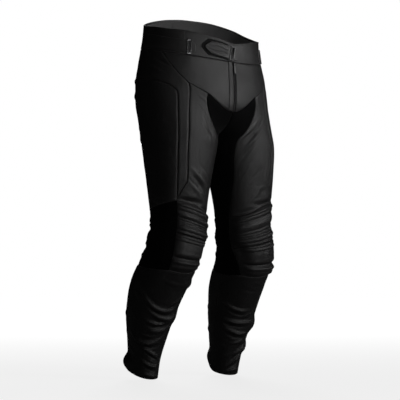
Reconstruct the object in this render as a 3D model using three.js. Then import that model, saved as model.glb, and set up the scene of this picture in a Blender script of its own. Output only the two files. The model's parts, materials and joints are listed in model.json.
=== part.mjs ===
// Motorcycle trousers of smooth leather and stretch cloth, in the shape they keep when worn, empty inside.
// Millimetres, +Z up. The wearer faces -Y and the wearer's left is +X.
// The origin is the middle of the waist, where the waistband is held.
import * as THREE from "three";

// Thickness of each cloth, and the gap that is left along every seam
const LEATHER = 1.4;
const STRETCH = 1.2;
const PADDED = 2.2;
const BAND = 2.8;
const TAPE = 1.0;
const STRAP = 1.8;
const FOLDED_TAB = 3;
const SEAM_GAP = 0.3;

// How far the waistband and the pieces that lie on it stand out
const BAND_PROUD = 0.6;
const ON_PANEL = SEAM_GAP;
const ON_LINING = 1.5;
const ON_BAND = BAND_PROUD + 0.6;
const ON_LANDING = ON_BAND + TAPE + 0.7;

// Spacing of the points along a seam, and the usual spacing inside a panel
const SEAM_STEP = 30;
const TRIM_STEP = 13;
const PANEL_STEP = 30;

// How far the bends of a panel's short end reach along the panel, in widths of that end
const BEND_REACH = 1.5;

// Turns rows of numbers into rows with named columns
const columns = (names, rows) =>
  rows.map((row) => Object.fromEntries(names.split(" ").map((name, i) => [name, row[i]])));

// Hip rings, one row for each height: "drop" is measured down from the origin
const HIPS = columns("drop width front back", [
  [-90, 166, 143, 128],
  [-40, 168, 143, 131],
  [0, 171, 142, 134],
  [60, 184, 145, 138],
  [120, 195, 149, 144],
  [180, 199, 150, 146],
  [240, 199, 148, 142],
  [330, 199, 146, 140],
]);

// Leg rings: the centre stands "out" from the middle and "fwd" of it, and the ring is tilted by the bent knee
const LEG = columns("drop out fwd width front back tilt", [
  [120, 99, 18, 99, 126, 126, 0],
  [200, 99, 25, 99, 124, 118, 0],
  [275, 101, 32, 101, 114, 110, 0],
  [315, 105, 36, 98, 108, 104, -3],
  [385, 111, 41, 87, 98, 94, -5],
  [455, 115, 44, 78, 86, 84, -5],
  [515, 116, 45, 73, 77, 80, 0],
  [560, 121, 42, 74, 78, 82, 5],
  [600, 128, 38, 74, 78, 84, 9],
  [640, 135, 25, 73, 76, 87, 13],
  [680, 140, 4, 71, 72, 92, 17],
  [720, 143, -16, 68, 68, 92, 18],
  [760, 146, -34, 63, 65, 82, 18],
  [800, 147, -46, 58, 60, 74, 17],
  [845, 147, -58, 50, 52, 60, 16],
  [890, 147, -67, 43, 46, 51, 15],
  [935, 146, -73, 39, 42, 44, 14],
  [970, 145, -80, 39, 42, 44, 14],
]);

// How much the waist sits above or below its even slope, round each side
const WAIST_SET = columns("round right left", [
  [0, -3, -3],
  [0.1, 0, -6],
  [0.2, 0, -9],
  [0.3, 0, -13],
  [0.4, -3, -15],
  [0.5, -5, -10],
  [0.6, -9, 2],
  [0.7, -12, 6],
  [0.85, -12, -1],
  [1, -10, -10],
]);

// Top edge of the waistband and bottom edge of the legs
const WAIST_EDGE = columns("round drop", [
  [0, -29],
  [0.1, -34],
  [0.3, -37],
  [0.4, -33],
  [0.5, -28],
  [0.6, -24],
  [0.75, -24],
  [0.9, -26],
  [1, -27],
]);
const HEM_EDGE = columns("round drop", [
  [0, 944],
  [0.25, 944],
  [0.5, 939],
  [0.75, 931],
  [0.9, 940],
  [1, 944],
]);

// Waist and fork
const BAND_LOW = 38;
const WAIST_LIFT = 46;
const LIFT_REACH = 170;
const LIFT_MOST = 1.12;
const SET_REACH = 150;
const FORK_TOP = 185;
const CROTCH = 280;
const LEG_STARTS = 120;
const LEG_WHOLE = 330;
const HIP_POWER = 2.2;
const LEG_POWER = 2.15;

// Padded knee: height of the shell above the plain leg, at the knee's own level, and the ribs on it
const KNEE_SHELL = columns("level height", [
  [470, 0],
  [480, -2],
  [486, 3],
  [503, 4],
  [513, 8.5],
  [523, 4],
  [541, 7],
  [549, 5],
  [573, 6],
  [590, 9],
  [602, 10],
  [608, 5],
  [616, 13],
  [622, 10],
  [629, 9],
  [636, 2],
  [646, 0],
]);
const KNEE_RIBS = columns("level pitch count height", [
  [485, 9, 2, 2],
  [521, 5, 3, 1.8],
  [536, 12, 1, 3.5],
  [548, 8, 3, 2.4],
]);
// How far a level of the knee rises from its inner to its outer side, for one whole turn
const KNEE_RAKE = columns("drop rake", [
  [480, 150],
  [560, 100],
  [620, 30],
  [650, 0],
]);
const KNEE_TOP = 470;
const KNEE_END = 646;
const KNEE_SIDES = { inner: 0.06, outer: 0.42, fade: 0.08, setIn: 0.06, setTop: 530, setFoot: 580 };
// Where the sag of the kneecap begins, is whole, begins to fade and has gone
const KNEE_SAGS = [500, 530, 656, 700];

// Fold at the ankle where the zip ends and the hem stands out
const FLARE = { round: 0.7, drop: 914, height: 17, aroundHalf: 0.28, dropHalf: 32 };

// Folds and creases. "half" is their half length round the leg, "reach" their half width,
// "sag" how far the ends hang above the middle and "slope" how far the outer end lies below the inner one
const FOLD_NAMES = "round drop half reach height sag slope";
const THIGH_FOLDS = [
  [0.2, 246, 0.07, 9, 3.5, 0, -34],
  [0.21, 276, 0.08, 10, 4.5, 0, -34],
  [0.22, 306, 0.08, 10, 3.5, 0, -30],
  [0.25, 402, 0.07, 11, 4, 0, -26],
  [0.24, 437, 0.09, 12, 5, 0, -30],
  [0.27, 470, 0.1, 9, -6, 4, -8],
];
const BACK_FOLDS = [
  [0.72, 262, 0.11, 12, 5, 8, 0],
  [0.71, 292, 0.12, 12, 6, 8, 0],
  [0.74, 322, 0.11, 11, 4, 8, 0],
  [0.68, 132, 0.1, 10, 4, -10, 14],
  [0.7, 172, 0.12, 11, 4, -10, 18],
];
const KNEE_BACK_FOLDS = [
  [0.74, 516, 0.2, 11, 5, 14, 0],
  [0.72, 543, 0.22, 11, -6, 16, 0],
  [0.76, 569, 0.2, 11, 5, 16, 0],
  [0.74, 598, 0.22, 11, -5, 14, 0],
  [0.74, 622, 0.2, 10, 4, 12, 0],
];
const SHARED_FOLDS = [...THIGH_FOLDS, ...BACK_FOLDS, ...KNEE_BACK_FOLDS];
const RIGHT_SHIN = [
  [0.34, 738, 0.22, 10, 6, 54, -32],
  [0.2, 714, 0.07, 8, 4, 0, 20],
  [0.26, 765, 0.13, 9, 5, 18, -2],
  [0.3, 781, 0.13, 8, 4, 18, 5],
  [0.26, 800, 0.13, 11, 5, 12, 14],
  [0.36, 841, 0.21, 11, 7, 40, 4],
  [0.3, 868, 0.14, 10, 6, 4, -23],
  [0.28, 906, 0.13, 10, 5, 9, -9],
  [0.27, 934, 0.11, 8, 4, 0, -4],
  [0.15, 673, 0.1, 15, 5, 0, 0],
  [0.17, 765, 0.12, 30, 6, 0, 0],
  [0.74, 790, 0.16, 11, 4, 12, 0],
  [0.76, 842, 0.16, 11, 5, 12, 0],
];
const LEFT_SHIN = [
  [0.17, 748, 0.14, 9, 5, 18, 9],
  [0.27, 757, 0.08, 8, 4, 4, -16],
  [0.19, 785, 0.17, 10, 6, 6, 0],
  [0.2, 816, 0.16, 10, 7, 14, 9],
  [0.24, 845, 0.09, 8, 4, 0, -9],
  [0.31, 864, 0.12, 11, 7, 0, -26],
  [0.26, 894, 0.12, 11, 7, 0, -34],
  [0.25, 928, 0.12, 11, 5, 0, -10],
  [0.37, 794, 0.13, 32, 8, 0, 0],
  [0.38, 868, 0.1, 16, 6, 0, 0],
  [0.74, 782, 0.16, 11, 4, 12, 0],
  [0.76, 838, 0.16, 11, 5, 12, 0],
];

// The two legs: the left kneecap hangs a little lower, because that leg is turned and bent differently
const LEGS = [
  { name: "left", side: 1, kneeSag: 13, folds: columns(FOLD_NAMES, [...SHARED_FOLDS, ...LEFT_SHIN]) },
  { name: "right", side: -1, kneeSag: 0, folds: columns(FOLD_NAMES, [...SHARED_FOLDS, ...RIGHT_SHIN]) },
];

const clamp = THREE.MathUtils.clamp;

// Smooth value of one column of a table, as a cubic through its rows
function along(table, key, place, value) {
  const last = table.length - 1;
  const at = clamp(place, table[0][key], table[last][key]);
  let i = 0;
  while (i < last - 1 && table[i + 1][key] <= at) i += 1;
  const gap = (k) => table[k + 1][key] - table[k][key];
  const rise = (k) => (table[k + 1][value] - table[k][value]) / gap(k);
  const slope = (k) => {
    if (k === 0) return rise(0);
    if (k === last) return rise(last - 1);
    return (rise(k - 1) * gap(k) + rise(k) * gap(k - 1)) / (gap(k) + gap(k - 1));
  };
  const t = (at - table[i][key]) / gap(i);
  const start = (2 * t ** 3 - 3 * t ** 2 + 1) * table[i][value];
  const end = (3 * t ** 2 - 2 * t ** 3) * table[i + 1][value];
  const leave = (t ** 3 - 2 * t ** 2 + t) * gap(i) * slope(i);
  const arrive = (t ** 3 - t ** 2) * gap(i) * slope(i + 1);
  return start + end + leave + arrive;
}

// Point of a rounded ring at an angle; -90 degrees is its front
function ring(angle, width, front, back, power) {
  const c = Math.cos(angle);
  const s = Math.sin(angle);
  const depth = s < 0 ? front : back;
  const radius = (Math.abs(c / width) ** power + Math.abs(s / depth) ** power) ** (-1 / power);
  return [radius * c, radius * s];
}

// Plain cloth of one half, as if it were the left one. "round" runs from 0 at the centre front or
// inside leg, over 0.5 at the outside, to 1 at the centre back or inside leg again
function skin(leg, round, drop) {
  const hips = (value) => along(HIPS, "drop", drop, value);
  const tube = (value) => along(LEG, "drop", drop, value);
  const fork = clamp((drop - FORK_TOP) / (CROTCH - FORK_TOP), 0, 1);
  const atFork = 1 - Math.sqrt(1 - fork ** 2);
  const atSide = THREE.MathUtils.smoothstep(drop, LEG_STARTS, LEG_WHOLE);
  const share = atSide + (atFork - atSide) * Math.abs(Math.cos(Math.PI * round)) ** 3;
  const [hx, hy] = ring(Math.PI * (round - 0.5), hips("width"), hips("front"), hips("back"), HIP_POWER);
  const [lx, ly] = ring(Math.PI * (2 * round - 1), tube("width"), tube("front"), tube("back"), LEG_POWER);
  const tilt = THREE.MathUtils.degToRad(tube("tilt"));
  const even = -WAIST_LIFT * Math.cos(Math.PI * round) * clamp((LIFT_REACH - drop) / LIFT_REACH, 0, LIFT_MOST);
  const set = along(WAIST_SET, "round", round, leg.name) * (1 - THREE.MathUtils.smoothstep(drop, 0, SET_REACH));
  const x = (1 - share) * hx + share * (tube("out") + lx);
  const y = (1 - share) * hy + share * (ly * Math.cos(tilt) - tube("fwd"));
  const z = -drop + (1 - share) * (even + set) + share * ly * Math.sin(tilt);
  return new THREE.Vector3(x, y, z);
}

// Direction that points out of a surface
function outward(surface, leg, round, drop) {
  const small = 0.002; // of a turn, about a millimetre
  const around = surface(leg, round + small, drop).sub(surface(leg, round - small, drop));
  const up = surface(leg, round, drop - 1).sub(surface(leg, round, drop + 1));
  return around.cross(up).normalize();
}

const hump = (u) => (Math.abs(u) < 1 ? (1 - u * u) ** 2 : 0);

// Cloth with its hem standing out round the ankle zip, inside and outside alike
function cloth(leg, round, drop) {
  const around = hump((round - FLARE.round) / FLARE.aroundHalf);
  const height = FLARE.height * around * hump((drop - FLARE.drop) / FLARE.dropHalf);
  const plain = skin(leg, round, drop);
  return height > 0 ? plain.addScaledVector(outward(skin, leg, round, drop), height) : plain;
}

// Height of the knee shell, its ribs and the folds on the outside of the cloth
function relief(leg, round, drop) {
  const at = round > 1 ? round - 1 : round;
  const level = drop + along(KNEE_RAKE, "drop", drop, "rake") * (at - 0.25);
  const low = level - leg.kneeSag * THREE.MathUtils.smoothstep(level, KNEE_SAGS[0], KNEE_SAGS[1] + leg.kneeSag);
  let height = 0;
  if (low > KNEE_TOP && low < KNEE_END) {
    const setIn = KNEE_SIDES.setIn * THREE.MathUtils.smoothstep(low, KNEE_SIDES.setTop, KNEE_SIDES.setFoot);
    const edge = KNEE_SIDES.inner + setIn;
    const inner = THREE.MathUtils.smoothstep(at, edge, edge + KNEE_SIDES.fade);
    const outer = 1 - THREE.MathUtils.smoothstep(at, KNEE_SIDES.outer - KNEE_SIDES.fade, KNEE_SIDES.outer);
    height += inner * outer * along(KNEE_SHELL, "level", low, "height");
    for (const rib of KNEE_RIBS) {
      const turns = (low - rib.level) / rib.pitch;
      if (turns > 0 && turns < rib.count) {
        height += inner * outer * rib.height * (0.5 - 0.5 * Math.cos(2 * Math.PI * turns));
      }
    }
  }
  for (const fold of leg.folds) {
    const u = (at - fold.round) / fold.half;
    const middle = fold.drop + fold.slope * u - fold.sag * u * u;
    height += fold.height * hump(u) * hump((drop - middle) / fold.reach);
  }
  return height;
}

// Named points of the seams, as [round, drop] rows
const POINT = {
  centreWaist: [0, BAND_LOW],
  frontWaist: [0.0107, BAND_LOW],
  bandJoint: [0.3, BAND_LOW],
  yokeWaist: [0.42, BAND_LOW],
  sideWaist: [0.6, BAND_LOW],
  backWaist: [1, BAND_LOW],
  flyEnd: [0.0107, 214],
  frontFork: [0, 214],
  backFork: [1, 238],
  crotch: [0, 280],
  stripTop: [0.276, 132],
  gussetTop: [0.18, 166],
  gussetBack: [0.84, 262],
  stripBend: [0.313, 417],
  stripEnd: [0.352, 451],
  stripTip: [0.3635, 462],
  panelBend: [0.362, 424],
  panelCorner: [0.334, 158],
  panelBack: [0.6, 118],
  seatSide: [0.6, 300],
  kneeOuter: [0.364, 466],
  kneeSide: [0.585, 480],
  kneeBack: [0.93, 503],
  kneeInseam: [0, 510],
  kneeInner: [0.05, 503],
  bandInner: [0.06, 575],
  bandOuter: [0.362, 545],
  cupInner: [0.13, 640],
  cupOuter: [0.355, 636],
  calfTop: [0.6, 648],
  calfLow: [0.6, 850],
  heelTop: [0.75, 652],
  shinInseam: [0, 650],
  zipTop: [0.75, 738],
  zipOuter: [0.7475, 741],
  zipInner: [0.7525, 741],
};
// Seams where the cloth bends sharply, with their points closer together
const TIGHT_SEAMS = ["gussetRear", "seatFork", "forkDownFront", "forkDownBack", "cupInnerSide", "bandInnerSide",
  "calfSeamLow", "zipEdgeOuter", "zipEdgeInner"];
const TIGHT_STEP = 15;
const HEM_AT = (round) => [round, along(HEM_EDGE, "round", round, "drop")];
const EDGE_AT = (round) => [round, along(WAIST_EDGE, "round", round, "drop")];

// Seams: each is a chain of points from its upper or front end, with the bends between its ends
const SEAMS = {
  waistStub: [POINT.centreWaist, POINT.frontWaist],
  waistFront: [POINT.frontWaist, [0.2, BAND_LOW], POINT.bandJoint],
  waistYoke: [POINT.bandJoint, POINT.yokeWaist],
  edgeFront: [EDGE_AT(0), EDGE_AT(0.1), EDGE_AT(0.2), EDGE_AT(0.3)],
  edgeBack: [EDGE_AT(0.3), EDGE_AT(0.45), EDGE_AT(0.6), EDGE_AT(0.8), EDGE_AT(1)],
  flyCentre: [POINT.centreWaist, POINT.frontFork],
  waistSide: [POINT.yokeWaist, POINT.sideWaist],
  waistBack: [POINT.sideWaist, [0.8, BAND_LOW], POINT.backWaist],
  fly: [POINT.frontWaist, POINT.flyEnd],
  yokeSide: [POINT.yokeWaist, [0.36, 78], [0.315, 108], POINT.stripTop],
  yokeFront: [POINT.stripTop, [0.234, 147], POINT.gussetTop],
  forkFront: [POINT.flyEnd, [0.04, 212], [0.09, 200], [0.136, 183], POINT.gussetTop],
  forkStub: [POINT.frontFork, POINT.flyEnd],
  stripFront: [POINT.stripTop, [0.272, 150], [0.282, 190], [0.295, 225], [0.318, 300], [0.315, 390],
    POINT.stripBend],
  stripHeel: [POINT.stripBend, POINT.stripEnd],
  stripPoint: [POINT.stripEnd, POINT.stripTip],
  panelTop: [POINT.panelBack, [0.52, 122], [0.435, 128], [0.398, 134], [0.362, 142], POINT.panelCorner],
  panelFront: [POINT.panelCorner, [0.332, 178], [0.343, 226], [0.36, 300], [0.362, 380], POINT.panelBend],
  panelLow: [POINT.panelBend, POINT.stripTip],
  panelFoot: [POINT.stripTip, POINT.kneeOuter],
  hipBack: [POINT.sideWaist, POINT.panelBack],
  sideBack: [POINT.panelBack, POINT.seatSide],
  sideLow: [POINT.seatSide, [0.593, 400], POINT.kneeSide],
  seatLow: [POINT.seatSide, [0.72, 298], POINT.gussetBack],
  seatFork: [POINT.gussetBack, [0.92, 248], POINT.backFork],
  centreBack: [POINT.backWaist, [1, 140], POINT.backFork],
  forkDownFront: [POINT.frontFork, [0, 240], [0, 262], [0, 275], POINT.crotch],
  forkDownBack: [POINT.backFork, [1, 255], [1, 268], [1, 277], [1, 280]],
  inseamHigh: [POINT.crotch, [0, 400], POINT.kneeInseam],
  gussetFront: [POINT.gussetTop, [0.19, 190], [0.187, 215], [0.175, 240], [0.16, 265], [0.145, 285],
    [0.12, 330], [0.1, 400], POINT.kneeInner],
  gussetRear: [POINT.gussetBack, [0.88, 330], [0.9, 400], POINT.kneeBack],
  kneeFrontTop: [POINT.kneeInner, [0.12, 502], [0.2, 491], [0.27, 477], POINT.kneeOuter],
  kneeOuterTop: [POINT.kneeOuter, POINT.kneeSide],
  kneeBackTop: [POINT.kneeSide, [0.72, 498], POINT.kneeBack],
  kneeBackInner: [POINT.kneeBack, [1, 510]],
  kneeFrontInner: [POINT.kneeInseam, POINT.kneeInner],
  bandInnerSide: [POINT.kneeInner, [0.05, 535], POINT.bandInner],
  bandOuterSide: [POINT.kneeOuter, POINT.bandOuter],
  bandLow: [POINT.bandInner, [0.2, 561], POINT.bandOuter],
  cupInnerSide: [POINT.bandInner, [0.078, 590], [0.102, 612], POINT.cupInner],
  cupOuterSide: [POINT.bandOuter, POINT.cupOuter],
  cupLow: [POINT.cupInner, [0.24, 641], POINT.cupOuter],
  calfTopOuter: [POINT.cupOuter, POINT.calfTop],
  calfTopBack: [POINT.calfTop, POINT.heelTop],
  calfTopInner: [POINT.heelTop, [1, 650]],
  shinTopInner: [POINT.shinInseam, POINT.cupInner],
  inseamLow: [POINT.shinInseam, [0, 800], HEM_AT(0)],
  calfSeam: [POINT.calfTop, POINT.calfLow],
  calfSeamLow: [POINT.calfLow, HEM_AT(0.6)],
  heelSeam: [POINT.heelTop, POINT.zipTop],
  zipStubOuter: [POINT.zipTop, POINT.zipOuter],
  zipStubInner: [POINT.zipTop, POINT.zipInner],
  zipEdgeOuter: [POINT.zipOuter, [0.743, 765], [0.742, 850], HEM_AT(0.741)],
  zipEdgeInner: [POINT.zipInner, [0.757, 765], [0.758, 850], HEM_AT(0.759)],
  hemShin: [HEM_AT(0), HEM_AT(0.3), HEM_AT(0.6)],
  hemOuter: [HEM_AT(0.6), HEM_AT(0.741)],
  hemZip: [HEM_AT(0.741), HEM_AT(0.759)],
  hemInner: [HEM_AT(0.759), HEM_AT(1)],
};

// Points of a seam, about one step apart along the cloth, the same for both panels that meet there
function seamTicks(leg, rows, step) {
  const scale = 500;
  const placed = rows.map(([round, drop]) => {
    const [begins, whole, fades, gone] = KNEE_SAGS;
    const share = THREE.MathUtils.smoothstep(drop, begins, whole);
    const held = 1 - THREE.MathUtils.smoothstep(drop, fades, gone);
    return new THREE.Vector3(round * scale, drop + leg.kneeSag * share * held, 0);
  });
  const curve = new THREE.CatmullRomCurve3(placed, false, "centripetal");
  const fine = 200;
  const flat = curve.getPoints(fine).map((p) => [p.x / scale, p.y]);
  const solid = flat.map(([round, drop]) => cloth(leg, round, drop));
  const length = [0];
  for (let i = 1; i <= fine; i += 1) length.push(length[i - 1] + solid[i].distanceTo(solid[i - 1]));
  const count = Math.max(1, Math.round(length[fine] / step));
  const ticks = [];
  for (let k = 0; k <= count; k += 1) {
    const target = (length[fine] * k) / count;
    let i = 0;
    while (i < fine - 1 && length[i + 1] < target) i += 1;
    const t = (target - length[i]) / (length[i + 1] - length[i]);
    ticks.push([0, 1].map((axis) => flat[i][axis] + (flat[i + 1][axis] - flat[i][axis]) * clamp(t, 0, 1)));
  }
  return { ticks, length: length[fine] };
}

// One side of a panel: seams named in order, "~" turns one round and "+" carries it once round the leg
function panelSide(seams, names) {
  const parts = names.map((name) => {
    const { ticks, length } = seams[name.replace(/^[~+]+/, "")];
    const moved = name.includes("+") ? ticks.map(([round, drop]) => [round + 1, drop]) : ticks;
    return { ticks: name.includes("~") ? [...moved].reverse() : moved, length };
  });
  const total = parts.reduce((sum, part) => sum + part.length, 0);
  return { parts, shares: parts.map((part) => part.length / total), length: total };
}

// Gives each point of a side its place from 0 to 1. Sides with as many seams meet joint to joint
function placeSide(side, other) {
  const matched = side.parts.length === other.parts.length;
  const shares = side.shares.map((share, i) => (matched ? (share + other.shares[i]) / 2 : share));
  const points = [];
  let start = 0;
  side.parts.forEach((part, i) => {
    part.ticks.forEach((tick, k) => {
      if (i > 0 && k === 0) return;
      points.push({ at: start + (shares[i] * k) / (part.ticks.length - 1), tick });
    });
    start += shares[i];
  });
  points[points.length - 1].at = 1;
  return points;
}

function readSide(points, at) {
  let i = 0;
  while (i < points.length - 2 && points[i + 1].at < at) i += 1;
  const t = (at - points[i].at) / (points[i + 1].at - points[i].at);
  return [0, 1].map((axis) => points[i].tick[axis] + (points[i + 1].tick[axis] - points[i].tick[axis]) * t);
}

// Lays a net of points over a panel between its four sides.
// Returns flat points, the triangles between them, and how many of the points form the rim
function panelNet(sides, { across, rows }) {
  const left = placeSide(sides.left, sides.right);
  const right = placeSide(sides.right, sides.left);
  const top = placeSide(sides.top, sides.bottom);
  const bottom = placeSide(sides.bottom, sides.top);
  const rim = [
    ...left.slice(0, -1).map((p) => ({ turn: p.at, tick: p.tick })),
    ...bottom.slice(0, -1).map((p) => ({ turn: 1 + p.at, tick: p.tick })),
    ...[...right].reverse().slice(0, -1).map((p) => ({ turn: 3 - p.at, tick: p.tick })),
    ...[...top].reverse().slice(0, -1).map((p) => ({ turn: 4 - p.at, tick: p.tick })),
  ];
  const corner = [left[0].tick, top[top.length - 1].tick, bottom[0].tick, right[right.length - 1].tick];
  // A long panel follows the bends of its short ends only near them
  const ends = sides.top.length + sides.bottom.length;
  const flanks = sides.left.length + sides.right.length;
  const reach = Math.min(1, (BEND_REACH * ends) / flanks);
  const inside = (u, v) => {
    const [l, r, t, b] = [readSide(left, v), readSide(right, v), readSide(top, u), readSide(bottom, u)];
    const nearTop = Math.max(0, 1 - v / reach);
    const nearBottom = Math.max(0, 1 - (1 - v) / reach);
    return [0, 1].map((i) => {
      const topBend = t[i] - (1 - u) * corner[0][i] - u * corner[1][i];
      const bottomBend = b[i] - (1 - u) * corner[2][i] - u * corner[3][i];
      return (1 - u) * l[i] + u * r[i] + nearTop * topBend + nearBottom * bottomBend;
    });
  };
  const points = rim.map((p) => p.tick);
  const first = points.length;
  for (const v of rows) {
    for (let i = 1; i < across; i += 1) points.push(inside(i / across, v));
  }
  const wide = across - 1;
  const index = (i, j) => first + j * wide + i;
  const triangles = [];
  for (let j = 0; j < rows.length - 1; j += 1) {
    for (let i = 0; i < wide - 1; i += 1) {
      triangles.push([index(i, j), index(i, j + 1), index(i + 1, j + 1)]);
      triangles.push([index(i, j), index(i + 1, j + 1), index(i + 1, j)]);
    }
  }
  const loop = [];
  const tall = rows.length - 1;
  const downTurn = (j) => (j === 0 ? 0 : rows[j]);
  const acrossTurn = (i) => (i === 0 ? 0 : (i + 1) / across);
  for (let j = 0; j < tall; j += 1) loop.push({ turn: downTurn(j), id: index(0, j) });
  for (let i = 0; i < wide - 1; i += 1) loop.push({ turn: 1 + acrossTurn(i), id: index(i, tall) });
  if (wide === 1) loop.push({ turn: 1.5, id: index(0, tall) });
  for (let j = tall; j > 0; j -= 1) loop.push({ turn: 3 - (j === tall ? 1 : rows[j]), id: index(wide - 1, j) });
  for (let i = wide - 1; i > 0; i -= 1) {
    loop.push({ turn: 4 - (i === wide - 1 ? 1 : acrossTurn(i)), id: index(i, 0) });
  }
  if (wide === 1) loop.push({ turn: 3.5, id: index(0, 0) });
  triangles.push(...stitch(rim.map((p, id) => ({ turn: p.turn, id })), loop));
  return { points, triangles, rim: first };
}

// Triangles between an outer and an inner loop of points that both run once round
function stitch(outer, inner) {
  const out = [...outer, { turn: 4, id: outer[0].id }];
  const inn = [...inner, { turn: 4, id: inner[0].id }];
  const triangles = [];
  let a = 0;
  let b = 0;
  while (a < out.length - 1 || b < inn.length - 1) {
    const nextOuter = a < out.length - 1 ? out[a + 1].turn : Infinity;
    const nextInner = b < inn.length - 1 ? inn[b + 1].turn : Infinity;
    if (nextOuter < nextInner) {
      triangles.push([out[a].id, out[a + 1].id, inn[b].id]);
      a += 1;
    } else {
      if (inn[b].id !== inn[b + 1].id) triangles.push([out[a].id, inn[b + 1].id, inn[b].id]);
      b += 1;
    }
  }
  return triangles;
}

// Closed wall over a net of cloth. The inside is plain and the outside carries the relief
function wall(leg, net, { thick, lift = 0, plain = false }) {
  const count = net.points.length;
  const normals = net.points.map(([round, drop]) => outward(cloth, leg, round, drop));
  const base = net.points.map(([round, drop]) => cloth(leg, round, drop));
  const shift = base.map(() => new THREE.Vector3());
  for (let i = 0; i < net.rim; i += 1) {
    const before = base[(i + net.rim - 1) % net.rim];
    const after = base[(i + 1) % net.rim];
    const inwards = [base[i].clone().sub(before), after.clone().sub(base[i])].map((edge) =>
      normals[i].clone().cross(edge).normalize());
    const open = Math.max(1 + inwards[0].dot(inwards[1]), 0.35);
    shift[i].copy(inwards[0]).add(inwards[1]).multiplyScalar(SEAM_GAP / 2 / open);
  }
  const position = [];
  const put = (i, height) => {
    const p = base[i].clone().add(shift[i]).addScaledVector(normals[i], height);
    position.push(leg.side * Math.max(p.x, SEAM_GAP / 2), p.y, p.z);
  };
  for (let i = 0; i < count; i += 1) {
    const raised = plain ? 0 : relief(leg, ...net.points[i]);
    put(i, raised + lift);
  }
  for (let i = 0; i < count; i += 1) {
    const raised = lift > 0 && !plain ? relief(leg, ...net.points[i]) : 0;
    put(i, raised + lift - thick);
  }
  const faces = [];
  const face = (a, b, c) => faces.push(...(leg.side > 0 ? [a, b, c] : [a, c, b]));
  for (const [a, b, c] of net.triangles) {
    face(a, b, c);
    face(count + a, count + c, count + b);
  }
  for (let i = 0; i < net.rim; i += 1) {
    const next = (i + 1) % net.rim;
    face(i, count + i, count + next);
    face(i, count + next, next);
  }
  return solid(position, faces);
}

function solid(position, faces) {
  const geometry = new THREE.BufferGeometry();
  geometry.setAttribute("position", new THREE.Float32BufferAttribute(position, 3));
  geometry.setIndex(faces);
  geometry.computeVertexNormals();
  return geometry;
}

const evenRows = (count) => Array.from({ length: count - 1 }, (_, i) => (i + 1) / count);

// Rows that fall on the tops and bottoms of the ribs of the knee
function kneeRows(from, to, extra) {
  const levels = new Set(extra);
  for (const rib of KNEE_RIBS) {
    for (let k = 0; k <= 2 * rib.count; k += 1) levels.add(rib.level + (k * rib.pitch) / 2);
  }
  const inside = [...levels].filter((level) => level > from + 2 && level < to - 2).sort((a, b) => a - b);
  return inside.map((level) => (level - from) / (to - from));
}

// Colours and finish of each cloth and fitting
const FINISH = {
  leather: { color: 0x1b1a1b, roughness: 0.42, metalness: 0 },
  stretch: { color: 0x0d0d0e, roughness: 0.9, metalness: 0 },
  band: { color: 0x191819, roughness: 0.5, metalness: 0 },
  tape: { color: 0x0a0a0a, roughness: 0.85, metalness: 0 },
  lining: { color: 0x3b3b3c, roughness: 0.95, metalness: 0 },
  metal: { color: 0xb9bbbd, roughness: 0.25, metalness: 1 },
  blackMetal: { color: 0x151515, roughness: 0.35, metalness: 1 },
};
const MATERIAL = Object.fromEntries(
  Object.entries(FINISH).map(([name, look]) => [name, new THREE.MeshStandardMaterial(look)]));

const garment = new THREE.Group();

function add(name, geometry, finish) {
  const mesh = new THREE.Mesh(geometry, MATERIAL[finish]);
  mesh.name = name;
  garment.add(mesh);
  return mesh;
}

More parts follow.
